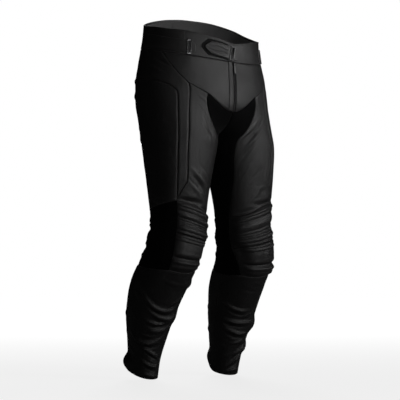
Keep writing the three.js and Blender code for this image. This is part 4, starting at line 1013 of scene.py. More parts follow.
class Tailor:
    """Cuts and sews the cloth pieces of one leg."""

    BEND_REACH = 1.5
    ROLL = 1.1
    RIM = 0.3
    INNER_ROLL = 0.35
    SWELL, SWELL_PLACE, SWELL_WIDTH = 0.2, 7.0, 3.5
    CHANNEL, CHANNEL_PLACE, CHANNEL_WIDTH = 0.25, 3.2, 0.9
    NO_SEAM = 1e3
    SEAM_FADE = 30
    SHARP = math.radians(50)
    NARROWEST_SHEET = 10.5
    LEAST_FILL = 0.33

    def __init__(self, form: Form, leg: Leg, finishes: "Finishes") -> None:
        """Keeps the form, the leg and the finishes."""
        self.form, self.leg, self.finishes = form, leg, finishes
        self.book = SeamBook(form, leg)

    def net(self, piece: Piece) -> Net:
        """Lays a grid over a piece between its four sides.

        The grid is a Coons patch: the sum of the blends between opposite sides, less the blend of the
        corners. The bends of the two short ends fade out along a long piece.

        Args:
            piece: the piece.

        Returns:
            The grid.
        """
        left, right = Chain(self.book, piece.left), Chain(self.book, piece.right)
        top, bottom = Chain(self.book, piece.top), Chain(self.book, piece.bottom)
        ends, flanks = top.length + bottom.length, left.length + right.length
        u = graded(ends / 2, piece.step)
        v = graded(flanks / 2, piece.row_step or piece.step)
        knots = [left.knots(right), right.knots(left), top.knots(bottom), bottom.knots(top)]
        l, r = left.at(v, knots[0]), right.at(v, knots[1])
        t, b = top.at(u, knots[2]), bottom.at(u, knots[3])
        reach = min(1.0, self.BEND_REACH * ends / flanks)
        near_top = np.maximum(0, 1 - v / reach)[:, None, None]
        near_bottom = np.maximum(0, 1 - (1 - v) / reach)[:, None, None]
        across = u[None, :, None]
        top_bend = t[None] - (1 - across) * t[0] - across * t[-1]
        bottom_bend = b[None] - (1 - across) * b[0] - across * b[-1]
        flat = (1 - across) * l[:, None] + across * r[:, None]
        flat = flat + near_top * top_bend + near_bottom * bottom_bend
        base = self.form.cloth(self.leg, flat[..., 0], flat[..., 1])
        normal = self.form.outward(self.form.cloth, self.leg, flat[..., 0], flat[..., 1])
        along_row = np.linalg.norm(np.diff(base, axis=1), axis=-1)
        along_column = np.linalg.norm(np.diff(base, axis=0), axis=-1)
        from_left = np.pad(np.cumsum(along_row, axis=1), ((0, 0), (1, 0)))
        from_top = np.pad(np.cumsum(along_column, axis=0), ((1, 0), (0, 0)))
        depth = [left.groove(v, knots[0])[:, None], right.groove(v, knots[1])[:, None],
                 top.groove(u, knots[2])[None], bottom.groove(u, knots[3])[None]]
        away = [from_left, from_left[:, -1:] - from_left, from_top, from_top[-1:] - from_top]
        seam = np.stack([np.where(d > 0, a, self.NO_SEAM) for d, a in zip(depth, away)])
        nearest = seam.argmin(axis=0)
        deep = np.stack(np.broadcast_arrays(*depth))
        groove = np.take_along_axis(deep, nearest[None], 0)[0]
        return Net(flat, base, normal, from_left, from_top, np.min(away, axis=0), seam.min(axis=0), groove)

    def heights(self, piece: Piece, net: Net) -> tuple[np.ndarray, np.ndarray]:
        """Heights of the outer and the inner face above the plain cloth.

        A seam is a groove, a bell of its depth, with a low swell beside it and a narrow channel under its
        stitches. Every edge is rolled: a quarter circle falls from the face to the rim.

        Args:
            piece: the piece.
            net: its grid.

        Returns:
            The two arrays of heights, in millimetres.
        """
        round_, drop = net.flat[..., 0], net.flat[..., 1]
        height = np.full(round_.shape, piece.lift)
        if not piece.plain:
            height = height + self.form.relief(self.leg, round_, drop)
            d = net.from_seam
            height = height - net.groove * bell(d, 0, GROOVE_WIDTH)
            height = height + self.SWELL * bell(d, self.SWELL_PLACE, self.SWELL_WIDTH)
            height = height - self.CHANNEL * bell(d, self.CHANNEL_PLACE, self.CHANNEL_WIDTH)
        else:
            height = height + PLAIN_DETAIL.get(piece.node, lambda net: 0.0)(net)
        radius = min(self.ROLL, piece.thick - self.RIM)
        short = np.clip((radius - net.from_edge) / radius, 0, 1)
        roll = radius * (1 - np.sqrt(1 - short**2))
        inner_roll = self.INNER_ROLL * roll if piece.thick > STRAP else 0.0
        return height - roll, height - piece.thick + inner_roll

    def sew(self, piece: Piece) -> bpy.types.Object:
        """Makes one piece as a closed thin shell with its own UV map in metres of cloth.

        Args:
            piece: the piece.

        Returns:
            Its object, dressed and riding.
        """
        net = self.net(piece)
        high, low = self.heights(piece, net)
        rows, columns = high.shape
        outer = net.base + net.normal * high[..., None]
        inner = net.base + net.normal * low[..., None]
        lap = self.lap(net)
        points = np.concatenate([(outer + lap).reshape(-1, 3), (inner + lap).reshape(-1, 3)])
        points[:, 0] = np.maximum(points[:, 0], -SEAM_LAP) * self.leg.side.value
        grid = np.arange(rows * columns).reshape(rows, columns)
        quads = np.stack([grid[:-1, :-1], grid[1:, :-1], grid[1:, 1:], grid[:-1, 1:]], axis=-1)
        quads = quads.reshape(-1, 4)
        loop = np.concatenate([grid[:-1, 0], grid[-1, :-1], grid[:0:-1, -1], grid[0, :0:-1]])
        follow = np.roll(loop, -1)
        count = rows * columns
        rim = np.stack([loop, loop + count, follow + count, follow], axis=-1)
        faces = np.concatenate([quads, quads[:, ::-1] + count, rim])
        if self.leg.side is Side.RIGHT:
            faces = faces[:, ::-1]
        suffix = self.leg.name
        obj = mesh_object(f"cloth_{piece.node}_{suffix}", points, [faces])
        self.unwrap(obj, net, faces, count)
        keep_attribute(obj, "seam", np.tile(np.minimum(net.from_seam, self.SEAM_FADE).reshape(-1), 2))
        keep_attribute(obj, "rise", np.tile((high - piece.lift).reshape(-1), 2))
        back = Finish.FLESH if piece.finish is Finish.LEATHER else piece.finish
        obj.data.materials.append(self.finishes.of(piece.finish))
        obj.data.materials.append(self.finishes.of(back))
        inside = np.zeros(len(faces), np.int32)
        inside[len(quads):2 * len(quads)] = 1
        obj.data.polygons.foreach_set("material_index", inside)
        obj.data.set_sharp_from_angle(angle=self.SHARP)
        self.declare(obj, piece, net)
        return obj

    def lap(self, net: Net) -> np.ndarray:
        """Moves the rim a little past its seam, into its neighbour, so that no light comes through.

        Args:
            net: the piece's grid.

        Returns:
            The steps of all its points: 0 inside the rim.
        """
        shift = np.zeros_like(net.base)
        to_right = unit(np.diff(net.base, axis=1))
        to_bottom = unit(np.diff(net.base, axis=0))
        shift[:, 0] -= to_right[:, 0]
        shift[:, -1] += to_right[:, -1]
        shift[0] -= to_bottom[0]
        shift[-1] += to_bottom[-1]
        return shift * SEAM_LAP

    def unwrap(self, obj: bpy.types.Object, net: Net, faces: np.ndarray, count: int) -> None:
        """Writes the UV map: metres across and down the cloth.

        Args:
            obj: the piece.
            net: its grid.
            faces: its faces.
            count: number of points on each of its two sides.
        """
        place = np.stack([net.from_left, net.from_top], axis=-1).reshape(-1, 2) * MM
        layer = obj.data.uv_layers.new(name="cloth")
        layer.data.foreach_set("uv", place[faces.reshape(-1) % count].astype(np.float32).reshape(-1))

    def declare(self, obj: bpy.types.Object, piece: Piece, net: Net) -> None:
        """Attaches the piece to its body and hides the node that it stands for; its cut is worked out but
        not kept.

        The area is the sum of the cells' areas, half the length of the cross product of their diagonals.

        Args:
            obj: the object.
            piece: the piece.
            net: its grid.
        """
        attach(obj, GARMENT)
        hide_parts(f"{piece.node}_{self.leg.name}")
        a = net.base[1:, 1:] - net.base[:-1, :-1]
        b = net.base[1:, :-1] - net.base[:-1, 1:]
        area = float(np.linalg.norm(np.cross(a, b), axis=-1).sum()) / 2
        length = float(net.from_top[-1].max())
        width = min(float(net.from_left[:, -1].max()), area / (self.LEAST_FILL * length))
        if min(width, length) < self.NARROWEST_SHEET:
            return
        area = min(area, width * length)


PIECES = (
    Piece("front_yoke", ("fly",), ("waistFront", "waistYoke"), ("yokeSide",), ("forkFront", "~yokeFront"),
          Finish.LEATHER, LEATHER),
    Piece("hip", ("yokeSide", "stripFront", "stripHeel"), ("waistSide", "hipBack"),
          ("panelTop", "panelFront", "panelLow"), ("stripPoint",), Finish.LEATHER, LEATHER),
    Piece("thigh_front", ("gussetFront",), ("~yokeFront",),
          ("stripFront", "stripHeel", "stripPoint", "panelFoot"), ("kneeFrontTop",),
          Finish.LEATHER, LEATHER, step=4.0),
    Piece("side_panel", ("panelFront", "panelLow", "panelFoot"), ("~panelTop",), ("sideBack", "sideLow"),
          ("kneeOuterTop",), Finish.LEATHER, LEATHER),
    Piece("seat", ("hipBack", "sideBack"), ("waistBack",), ("centreBack",), ("seatLow", "seatFork"),
          Finish.LEATHER, LEATHER),
    Piece("inner_front", ("forkDownFront", "inseamHigh"), ("forkStub", "forkFront"), ("gussetFront",),
          ("kneeFrontInner",), Finish.STRETCH, STRETCH, slot="stretch", held="stretched"),
    Piece("inner_back", ("gussetRear",), ("seatFork",), ("forkDownBack", "+inseamHigh"),
          ("kneeBackInner",), Finish.STRETCH, STRETCH, slot="stretch", held="stretched"),
    Piece("thigh_back", ("sideLow",), ("seatLow",), ("gussetRear",), ("kneeBackTop",), Finish.LEATHER,
          LEATHER),
    Piece("knee_band", ("bandInnerSide",), ("kneeFrontTop",), ("bandOuterSide",), ("bandLow",),
          Finish.LEATHER, LEATHER, step=3.5, row_step=0.9),
    Piece("knee_cup", ("cupInnerSide",), ("bandLow",), ("cupOuterSide",), ("cupLow",), Finish.LEATHER,
          PADDED, step=3.5, row_step=1.1),
    Piece("knee_back", ("bandOuterSide", "cupOuterSide"),
          ("kneeOuterTop", "kneeBackTop", "kneeBackInner", "+kneeFrontInner"),
          ("+bandInnerSide", "+cupInnerSide"),
          ("calfTopOuter", "calfTopBack", "calfTopInner", "+shinTopInner"),
          Finish.STRETCH, STRETCH, step=3.6, row_step=2.6, slot="stretch", held="stretched"),
    Piece("shin", ("inseamLow",), ("shinTopInner", "cupLow", "calfTopOuter"), ("calfSeam", "calfSeamLow"),
          ("hemShin",), Finish.LEATHER, LEATHER, step=4.2, row_step=2.6),
    Piece("calf_outer", ("calfSeam", "calfSeamLow"), ("calfTopBack",),
          ("heelSeam", "zipStubOuter", "zipEdgeOuter"), ("hemOuter",), Finish.LEATHER, LEATHER, step=4.2,
          row_step=3.2),
    Piece("calf_inner", ("heelSeam", "zipStubInner", "zipEdgeInner"), ("calfTopInner",), ("+inseamLow",),
          ("hemInner",), Finish.LEATHER, LEATHER, step=4.2, row_step=3.2),
    Piece("ankle_zip_tape", ("zipEdgeOuter",), ("~zipStubOuter", "zipStubInner"), ("zipEdgeInner",),
          ("hemZip",), Finish.TAPE, TAPE, plain=True, step=1.5, slot="zip_tape"),
    Piece("waistband_front", ("bandFront",), ("edgeFront",), ("bandSeam",), ("waistStub", "waistFront"),
          Finish.BAND, BAND, lift=BAND_PROUD, plain=True, step=4.0, slot="waistband"),
    Piece("waistband_back", ("bandSeam",), ("edgeBack",), ("bandBack",),
          ("waistYoke", "waistSide", "waistBack"), Finish.BAND, BAND, lift=BAND_PROUD, plain=True, step=4.0,
          slot="waistband"),
    Piece("waist_lining", ("liningFront",), ("liningTop",), ("liningBack",), ("liningFoot",),
          Finish.LINING, TAPE, lift=BAND_PROUD - BAND - ON_LINING, plain=True, step=5.0, slot="lining"),
    Piece("fly_zip_tape", ("flyCentre",), ("waistStub",), ("fly",), ("forkStub",), Finish.TAPE, TAPE,
          plain=True, step=1.6, row_step=4.0, slot="zip_tape"),
    Piece("fly_placket", ("placketInner",), ("placketTop",), ("placketOuter",), ("placketFoot",),
          Finish.LEATHER, LEATHER, lift=ON_PANEL + LEATHER, plain=True, sides=(Side.RIGHT,), step=2.2,
          row_step=4.0),
    Piece("fly_fold", ("placketInner",), ("foldTop",), ("foldOuter",), ("foldFoot",), Finish.LEATHER,
          LEATHER, lift=ON_PANEL + LEATHER, plain=True, sides=(Side.LEFT,), step=1.6, row_step=4.0),
    Piece("tab_landing", ("landingInner",), ("landingTop",), ("landingPoint",), ("landingFoot",),
          Finish.PILE, TAPE, lift=ON_BAND + TAPE, plain=True, sides=(Side.RIGHT,), step=2.0,
          slot="hook_and_loop"),
    Piece("waist_tab", ("tabInner",), ("tabTop",), ("tabPoint",), ("tabFoot",), Finish.LEATHER,
          FOLDED_TAB, lift=ON_LANDING + FOLDED_TAB, plain=True, sides=(Side.RIGHT,), step=1.4),
    Piece("ring_loop", ("loopInner",), ("loopTop",), ("loopOuter",), ("loopFoot",), Finish.LEATHER, STRAP,
          lift=ON_BAND + STRAP, plain=True, sides=(Side.LEFT,), step=1.6),
    Piece("side_strap", ("strapEnd",), ("strapTop",), ("strapBack",), ("strapFoot",), Finish.BAND, STRAP,
          lift=ON_BAND + STRAP, plain=True, step=2.2, slot="waistband"),
)


def tab_detail(net: Net) -> np.ndarray:
    """The folded tab: a stitch channel round it and two soft wrinkles along its length.

    Args:
        net: its grid.

    Returns:
        Heights above the plain face.
    """
    channel = -0.45 * bell(net.from_edge, 3.4, 0.8)
    share = net.from_top / net.from_top[-1:]
    wave = 0.04 * np.sin(net.from_left / 9)
    wrinkle = -1.2 * bell(share - wave, 0.36, 0.05) - 1.3 * bell(share + wave, 0.64, 0.05)
    inside = smooth(net.from_edge, 4, 8)
    return channel + inside * wrinkle + 0.3 * inside


def band_detail(net: Net) -> np.ndarray:
    """The waistband: a rolled top edge, stitch channels near both edges, and faint waves round it.

    Args:
        net: its grid.

    Returns:
        Heights above the plain face.
    """
    low = net.from_top[-1:] - net.from_top
    channel = -0.3 * bell(net.from_top, 5.5, 0.9) - 0.3 * bell(low, 4.5, 0.9)
    roll = 0.35 * bell(net.from_top, 2.2, 1.8)
    wave = 0.35 * np.sin(net.from_left / 23) * np.sin(net.from_top / 17 + 0.6) * smooth(net.from_edge, 4, 14)
    return channel + roll + wave


def strap_detail(net: Net) -> np.ndarray:
    """A strap with a stitch channel near both long edges."""
    return -0.3 * bell(net.from_edge, 2.6, 0.7)


PLAIN_DETAIL = {
    "waist_tab": tab_detail,
    "waistband_front": band_detail,
    "waistband_back": band_detail,
    "side_strap": strap_detail,
    "ring_loop": strap_detail,
    "fly_placket": strap_detail,
}


@dataclass(frozen=True)
class StitchRow:
    """A row of stitches beside a seam: the seam, how far to its side, and the height of the face there."""

    seam: str
    beside: float
    lift: float = 0.0
    sides: tuple[Side, ...] = BOTH
    relief: bool = True


class Needle:
    """Sews rows of stitches, each stitch a small bead that dives into the cloth at both ends."""

    PITCH = 3.4
    LENGTH = 2.7
    WIDTH = 0.62
    RISE = 0.42
    CORNERS = 5
    BODY = 0.28
    SUNK = 0.25
    MARGIN = 3.0
    BEDDED = 0.05

    def __init__(self, form: Form, leg: Leg, book: SeamBook) -> None:
        """Keeps the form, the leg and its seams."""
        self.form, self.leg, self.book = form, leg, book

    def template(self) -> tuple[np.ndarray, np.ndarray]:
        """One stitch along X: two rings of corners and a pole at each end, sunk below the face.

        Returns:
            Its points and its faces.
        """
        turn = 2 * np.pi * np.arange(self.CORNERS) / self.CORNERS
        across, up = self.WIDTH / 2 * np.cos(turn), self.RISE * np.sin(turn)
        ring = np.stack([np.zeros(self.CORNERS), across, up], axis=-1)
        reach = np.array([self.LENGTH * self.BODY, 0, 0])
        poles = np.array([[-self.LENGTH / 2, 0, -self.SUNK], [self.LENGTH / 2, 0, -self.SUNK]])
        points = np.concatenate([ring - reach, ring + reach, poles])
        n = self.CORNERS
        i = np.arange(n)
        j = (i + 1) % n
        faces = np.concatenate([
            np.stack([i, j, j + n], -1), np.stack([i, j + n, i + n], -1),
            np.stack([j, i, np.full(n, 2 * n)], -1), np.stack([i + n, j + n, np.full(n, 2 * n + 1)], -1)])
        return points, faces

    def places(self, row: StitchRow) -> tuple[np.ndarray, np.ndarray, np.ndarray]:
        """Middles, directions and outward directions of the stitches of one row.

        The row lies beside its seam: a step square to the seam on the cloth is turned into a step in
        (round, drop) by solving the two tangents of the surface.

        Args:
            row: the row.

        Returns:
            Three arrays of vectors.
        """
        line = self.book.line(row.seam)
        total = line.length[-1]
        sewn = total - 2 * self.MARGIN
        count = int(sewn / self.PITCH)
        if count < 1:
            empty = np.zeros((0, 3))
            return empty, empty, empty
        share = (self.MARGIN + (np.arange(count) + 0.5) * sewn / count) / total
        flat = line.at(share)
        round_, drop = flat[:, 0], flat[:, 1]
        cloth, leg = self.form.cloth, self.leg
        small = 0.001
        by_round = (cloth(leg, round_ + small, drop) - cloth(leg, round_ - small, drop)) / (2 * small)
        by_drop = (cloth(leg, round_, drop + 1) - cloth(leg, round_, drop - 1)) / 2
        before, after = line.at(np.clip(share - 0.002, 0, 1)), line.at(np.clip(share + 0.002, 0, 1))
        tangent = unit(cloth(leg, after[:, 0], after[:, 1]) - cloth(leg, before[:, 0], before[:, 1]))
        normal = unit(np.cross(by_drop, by_round))
        step = np.cross(normal, tangent) * row.beside
        rr, rd, dd = (by_round**2).sum(-1), (by_round * by_drop).sum(-1), (by_drop**2).sum(-1)
        sr, sd = (step * by_round).sum(-1), (step * by_drop).sum(-1)
        whole = rr * dd - rd * rd
        round_, drop = round_ + (sr * dd - sd * rd) / whole, drop + (sd * rr - sr * rd) / whole
        height = np.full(len(round_), row.lift)
        if row.relief:
            fall = groove_depth(row.seam) * bell(row.beside, 0, GROOVE_WIDTH) + self.BEDDED
            height = height + self.form.relief(leg, round_, drop) - fall
        at = cloth(leg, round_, drop) + normal * height[:, None]
        return at, tangent, normal

    def sew(self, name: str, rows: list[StitchRow]) -> bpy.types.Object:
        """Joins the stitches of many rows into one piece.

        Args:
            name: the piece's name.
            rows: the rows.

        Returns:
            The object.
        """
        found = [self.places(row) for row in rows if self.leg.side in row.sides]
        at, tangent, normal = (np.concatenate(parts) for parts in zip(*found))
        side = np.cross(normal, tangent)
        points, faces = self.template()
        placed = (at[:, None] + points[None, :, :1] * tangent[:, None]
                  + points[None, :, 1:2] * side[:, None] + points[None, :, 2:] * normal[:, None])
        offset = np.arange(len(at))[:, None, None] * len(points)
        all_faces = (faces[None] + offset).reshape(-1, 3)
        placed = placed.reshape(-1, 3)
        placed[:, 0] *= self.leg.side.value
        if self.leg.side is Side.RIGHT:
            all_faces = all_faces[:, ::-1]
        return mesh_object(name, placed, [all_faces])


ROW_GAP = 3.4


def double(seam: str, beside: float = 3.2) -> list[StitchRow]:
    """Two rows of stitches on the same side of a seam; a negative distance lies on its other side."""
    return [StitchRow(seam, beside), StitchRow(seam, beside + math.copysign(ROW_GAP, beside))]


def laid(lift: float, sides: tuple[Side, ...], *rows: tuple[str, float]) -> list[StitchRow]:
    """Rows on a plain piece whose stitch channels lie "lift" above the cloth."""
    return [StitchRow(seam, beside, lift, sides, relief=False) for seam, beside in rows]


CHANNEL = 0.25
TAB_CHANNEL = 0.4
STITCHING = [
    *double("waistFront", -3.2), *double("waistYoke", -3.2), *double("waistSide", -3.2),
    *double("waistBack", -3.2), *double("yokeFront", -3.2), *double("yokeSide", -3.2), *double("panelTop"),
    *double("panelFront", -3.2), *double("stripFront", -3.2), *double("kneeFrontTop"),
    *double("centreBack", -3.2), *double("seatLow"), *double("hipBack", -3.2), *double("sideBack", -3.2),
    *double("sideLow", -3.2), *double("forkFront"),
    StitchRow("gussetFront", 3.2), StitchRow("gussetRear", -3.2), StitchRow("bandLow", 3.2),
    StitchRow("bandInnerSide", 3.2), StitchRow("bandOuterSide", -3.2), StitchRow("cupInnerSide", 3.2),
    StitchRow("cupOuterSide", -3.2), StitchRow("cupLow", -3.2), StitchRow("kneeOuterTop", 3.2),
    StitchRow("kneeBackTop", 3.2), StitchRow("calfTopOuter", -3.2), StitchRow("calfTopBack", -3.2),
    *double("calfSeam", -3.2), *double("calfSeamLow", -3.2), StitchRow("inseamLow", 3.2),
    StitchRow("heelSeam", -3.2), StitchRow("zipEdgeOuter", -3.6), StitchRow("zipEdgeInner", 3.6),
    StitchRow("hemShin", 9.0), StitchRow("hemOuter", 9.0), StitchRow("hemInner", 9.0), StitchRow("fly", 3.2),
    *laid(BAND_PROUD - CHANNEL, BOTH, ("edgeFront", -5.5), ("edgeBack", -5.5), ("waistFront", 4.5),
          ("waistYoke", 4.5), ("waistSide", 4.5), ("waistBack", 4.5)),
    *laid(ON_LANDING + FOLDED_TAB - TAB_CHANNEL, (Side.RIGHT,), ("tabTop", -3.4), ("tabFoot", 3.4),
          ("tabInner", 3.4), ("tabPoint", -3.4)),
    *laid(ON_PANEL + LEATHER - CHANNEL, (Side.RIGHT,), ("placketOuter", -2.6), ("placketInner", 2.6)),
    *laid(ON_PANEL + LEATHER, (Side.LEFT,), ("foldOuter", -2.0)),
    *laid(ON_BAND + STRAP - CHANNEL, BOTH, ("strapTop", -2.6), ("strapFoot", 2.6), ("strapEnd", 2.6)),
    *laid(ON_BAND + STRAP - CHANNEL, (Side.LEFT,), ("loopInner", 2.6), ("loopOuter", -2.6)),
    *laid(ON_BAND + TAPE, (Side.RIGHT,), ("landingTop", -1.8), ("landingFoot", 1.8),
          ("landingPoint", -1.8)),
]


@dataclass(frozen=True)
class LeatherLook:
    """The numbers of one leather: grain cells to the metre, colours, roughness range, grain and gloss."""

    name: str
    cell: float = 1150.0
    color: tuple[float, float, float] = (0.0125, 0.012, 0.0122)
    worn: tuple[float, float, float] = (0.034, 0.033, 0.033)
    rough: tuple[float, float] = (0.4, 0.56)
    grain: float = 0.3
    gloss: float = 0.5


@dataclass(frozen=True)
class WovenLook:
    """The numbers of one cloth: its colour in the holes and on the threads, the threads' width and height in
    metres, its soft shine at a slant, and its gloss."""

    name: str
    deep: tuple[float, float, float]
    color: tuple[float, float, float]
    thread: float
    height: float
    sheen: float
    gloss: float = 0.25


@dataclass(frozen=True)
class MetalLook:
    """The numbers of one metal: its colour, its least roughness, and 1 if it is bare or 0 if coated."""

    name: str
    color: tuple[float, float, float]
    rough: float
    metallic: float


class Finishes:
    """The shader node groups and the materials, each made once.

    Each noise is its waves to the metre and its finer layers, and each bump its strength and its height in
    metres.
    """

    FINE = (2600, 2)
    CRUMPLE = (95, 3)
    CLOUD = (14, 4)
    SCUFF = (120, 4)
    PEBBLE_EDGE = 4.0
    PEBBLE_SHARE = 0.75
    FINE_SHARE = 0.4
    SEAM_WEAR = 0.16
    RISE_WEAR = 0.09
    EDGE_WEAR = 0.8
    POLISH = 0.08
    GRAIN_HEIGHT = 0.0004
    LEATHER_BUMP = (0.35, 0.0012)
    CLOTH_BUMP = (0.3, 0.0012)
    METAL_BUMP = (0.05, 0.0001)
    THREAD_STRENGTH = 0.8
    THREAD_SHARE = 0.7
    CROSSING_SHARE = 0.3
    CLOTH_ROUGH = (0.78, 0.95)
    CLOTH_SHADE = (0.7, 1.0)
    HOLE_START = 0.45
    SHEEN_ROUGH = 0.45
    METAL_CLOUD = 1.35
    METAL_HAZE = 0.14
    COAT = (0.15, 0.25)

    def __init__(self) -> None:
        """Builds the groups and every material."""
        self.grain = self.grain_group()
        self.weave = self.weave_group()
        self.wear = self.wear_group()
        self.made = {
            Finish.LEATHER: self.leather(LeatherLook("smooth_leather")),
            Finish.BAND: self.leather(LeatherLook("band_leather", cell=1500, rough=(0.44, 0.6), grain=0.22)),
            Finish.STRETCH: self.woven(WovenLook(
                "stretch_cloth", (0.0012, 0.0012, 0.0013), (0.0036, 0.0036, 0.0038),
                thread=0.0011, height=0.0003, sheen=0.02, gloss=0.06)),
            Finish.LINING: self.woven(WovenLook(
                "mesh_lining", (0.012, 0.012, 0.0125), (0.085, 0.084, 0.084),
                thread=0.0026, height=0.0006, sheen=0.4)),
            Finish.TAPE: self.woven(WovenLook(
                "woven_tape", (0.003, 0.003, 0.003), (0.009, 0.009, 0.009),
                thread=0.0008, height=0.0002, sheen=0.15)),
            Finish.PILE: self.woven(WovenLook(
                "pile_tape", (0.002, 0.002, 0.002), (0.006, 0.006, 0.006),
                thread=0.0016, height=0.0006, sheen=0.1)),
            Finish.FLESH: self.woven(WovenLook(
                "flesh_side", (0.009, 0.0088, 0.0088), (0.02, 0.0195, 0.019),
                thread=0.0021, height=0.00025, sheen=0.35)),
            Finish.THREAD: self.woven(WovenLook(
                "thread", (0.006, 0.006, 0.006), (0.016, 0.016, 0.016),
                thread=0.0005, height=0.0001, sheen=0.2)),
            Finish.BLACK_METAL: self.metal(MetalLook("black_metal", (0.01, 0.01, 0.0105), 0.38, 0.0)),
            Finish.METAL: self.metal(MetalLook("bright_metal", (0.4, 0.4, 0.41), 0.14, 1.0)),
        }

    def of(self, finish: Finish) -> bpy.types.Material:
        """The material of a finish."""
        return self.made[finish]

    @staticmethod
    def group(name: str, inputs: list[tuple[str, str, object]],
              outputs: list[tuple[str, str]]) -> tuple[bpy.types.NodeTree, bpy.types.Node, bpy.types.Node]:
        """An empty node group with named sockets.

        Args:
            name: the group's name.
            inputs: name, socket type and first value of each input.
            outputs: name and socket type of each output.

        Returns:
            The tree, its input node and its output node.
        """
        tree = bpy.data.node_groups.new(name, "ShaderNodeTree")
        for label, kind, value in inputs:
            socket = tree.interface.new_socket(label, in_out="INPUT", socket_type=kind)
            if value is not None:
                socket.default_value = value
        for label, kind in outputs:
            tree.interface.new_socket(label, in_out="OUTPUT", socket_type=kind)
        return tree, tree.nodes.new("NodeGroupInput"), tree.nodes.new("NodeGroupOutput")

    @staticmethod
    def math(tree: bpy.types.NodeTree, operation: str, *values: object) -> bpy.types.NodeSocket:
        """Adds a Math node.

        Args:
            tree: the tree that it goes into.
            operation: what it does.
            values: a number for each input, or the socket that feeds it.

        Returns:
            Its output.
        """
        node = tree.nodes.new("ShaderNodeMath")
        node.operation = operation
        for i, value in enumerate(values):
            if isinstance(value, bpy.types.NodeSocket):
                tree.links.new(value, node.inputs[i])
            else:
                node.inputs[i].default_value = value
        return node.outputs[0]

    @staticmethod
    def noise(tree: bpy.types.NodeTree, place: bpy.types.NodeSocket,
              kind: tuple[float, float]) -> bpy.types.NodeSocket:
        """Adds a Noise node.

        Args:
            tree: the tree that it goes into.
            place: where it is read.
            kind: its waves to the metre and its finer layers.

        Returns:
            Its value.
        """
        node = tree.nodes.new("ShaderNodeTexNoise")
        node.inputs["Scale"].default_value, node.inputs["Detail"].default_value = kind
        tree.links.new(place, node.inputs["Vector"])
        return node.outputs["Fac"]

    def grain_group(self) -> bpy.types.NodeTree:
        """Leather grain: small pebbles parted by fine lines, over a slow crumple.

        Returns:
            The group.
        """
        tree, enter, leave = self.group(
            "leather_grain", [("Vector", "NodeSocketVector", None), ("Cells", "NodeSocketFloat", 1200.0)],
            [("Height", "NodeSocketFloat"), ("Crumple", "NodeSocketFloat"), ("Cloud", "NodeSocketFloat")])
        place = enter.outputs["Vector"]
        pebble = tree.nodes.new("ShaderNodeTexVoronoi")
        pebble.feature = "DISTANCE_TO_EDGE"
        tree.links.new(place, pebble.inputs["Vector"])
        tree.links.new(enter.outputs["Cells"], pebble.inputs["Scale"])
        edge = self.math(tree, "MULTIPLY", pebble.outputs["Distance"], self.PEBBLE_EDGE)
        line = self.math(tree, "MINIMUM", edge, 1.0)
        fine = self.noise(tree, place, self.FINE)
        height = self.math(tree, "ADD", self.math(tree, "MULTIPLY", line, self.PEBBLE_SHARE),
                           self.math(tree, "MULTIPLY", fine, self.FINE_SHARE))
        tree.links.new(height, leave.inputs["Height"])
        tree.links.new(self.noise(tree, place, self.CRUMPLE), leave.inputs["Crumple"])
        tree.links.new(self.noise(tree, place, self.CLOUD), leave.inputs["Cloud"])
        return tree

    def weave_group(self) -> bpy.types.NodeTree:
        """Woven threads: two crossing rows of sine waves, each over and under the other.

        Returns:
            The group.
        """
        tree, enter, leave = self.group(
            "woven_threads", [("Vector", "NodeSocketVector", None), ("Thread", "NodeSocketFloat", 0.001)],
            [("Height", "NodeSocketFloat"), ("Hole", "NodeSocketFloat")])
        split = tree.nodes.new("ShaderNodeSeparateXYZ")
        tree.links.new(enter.outputs["Vector"], split.inputs[0])
        waves = []
        for axis in (0, 1):
            turn = self.math(tree, "DIVIDE", self.math(tree, "MULTIPLY", split.outputs[axis], math.pi),
                             enter.outputs["Thread"])
            waves.append(self.math(tree, "SINE", turn))
        crossed = self.math(tree, "MULTIPLY", *waves)
        over = self.math(tree, "ABSOLUTE", waves[0])
        under = self.math(tree, "ABSOLUTE", waves[1])
        round_threads = self.math(tree, "MAXIMUM", over, under)
        height = self.math(tree, "ADD", self.math(tree, "MULTIPLY", round_threads, self.THREAD_SHARE),
                           self.math(tree, "MULTIPLY", crossed, self.CROSSING_SHARE))
        tree.links.new(height, leave.inputs["Height"])
        tree.links.new(self.math(tree, "SUBTRACT", 1.0, round_threads), leave.inputs["Hole"])
        return tree

    def wear_group(self) -> bpy.types.NodeTree:
        """Wear: 1 on the rolled edges beside seams and on high folds, broken up by noise.

        Returns:
            The group.
        """
        tree, enter, leave = self.group(
            "worn_edges", [("Vector", "NodeSocketVector", None), ("Seam", "NodeSocketFloat", 30.0),
                           ("Rise", "NodeSocketFloat", 0.0)], [("Wear", "NodeSocketFloat")])
        away = self.math(tree, "MULTIPLY", enter.outputs["Seam"], self.SEAM_WEAR)
        edge = self.math(tree, "MAXIMUM", self.math(tree, "SUBTRACT", 1.0, away), 0.0)
        rise = self.math(tree, "MULTIPLY", enter.outputs["Rise"], self.RISE_WEAR)
        crest = self.math(tree, "MINIMUM", self.math(tree, "MAXIMUM", rise, 0.0), 1.0)
        both = self.math(tree, "MAXIMUM", self.math(tree, "MULTIPLY", edge, self.EDGE_WEAR), crest)
        scuff = self.noise(tree, enter.outputs["Vector"], self.SCUFF)
        tree.links.new(self.math(tree, "MULTIPLY", both, scuff), leave.inputs["Wear"])
        return tree

    @staticmethod
    def start(name: str) -> tuple[bpy.types.Material, bpy.types.NodeTree, bpy.types.Node]:
        """A new material.

        Args:
            name: its name.

        Returns:
            The material, its tree and its Principled shader.
        """
        material = bpy.data.materials.new(name)
        material.use_nodes = True
        return material, material.node_tree, material.node_tree.nodes["Principled BSDF"]

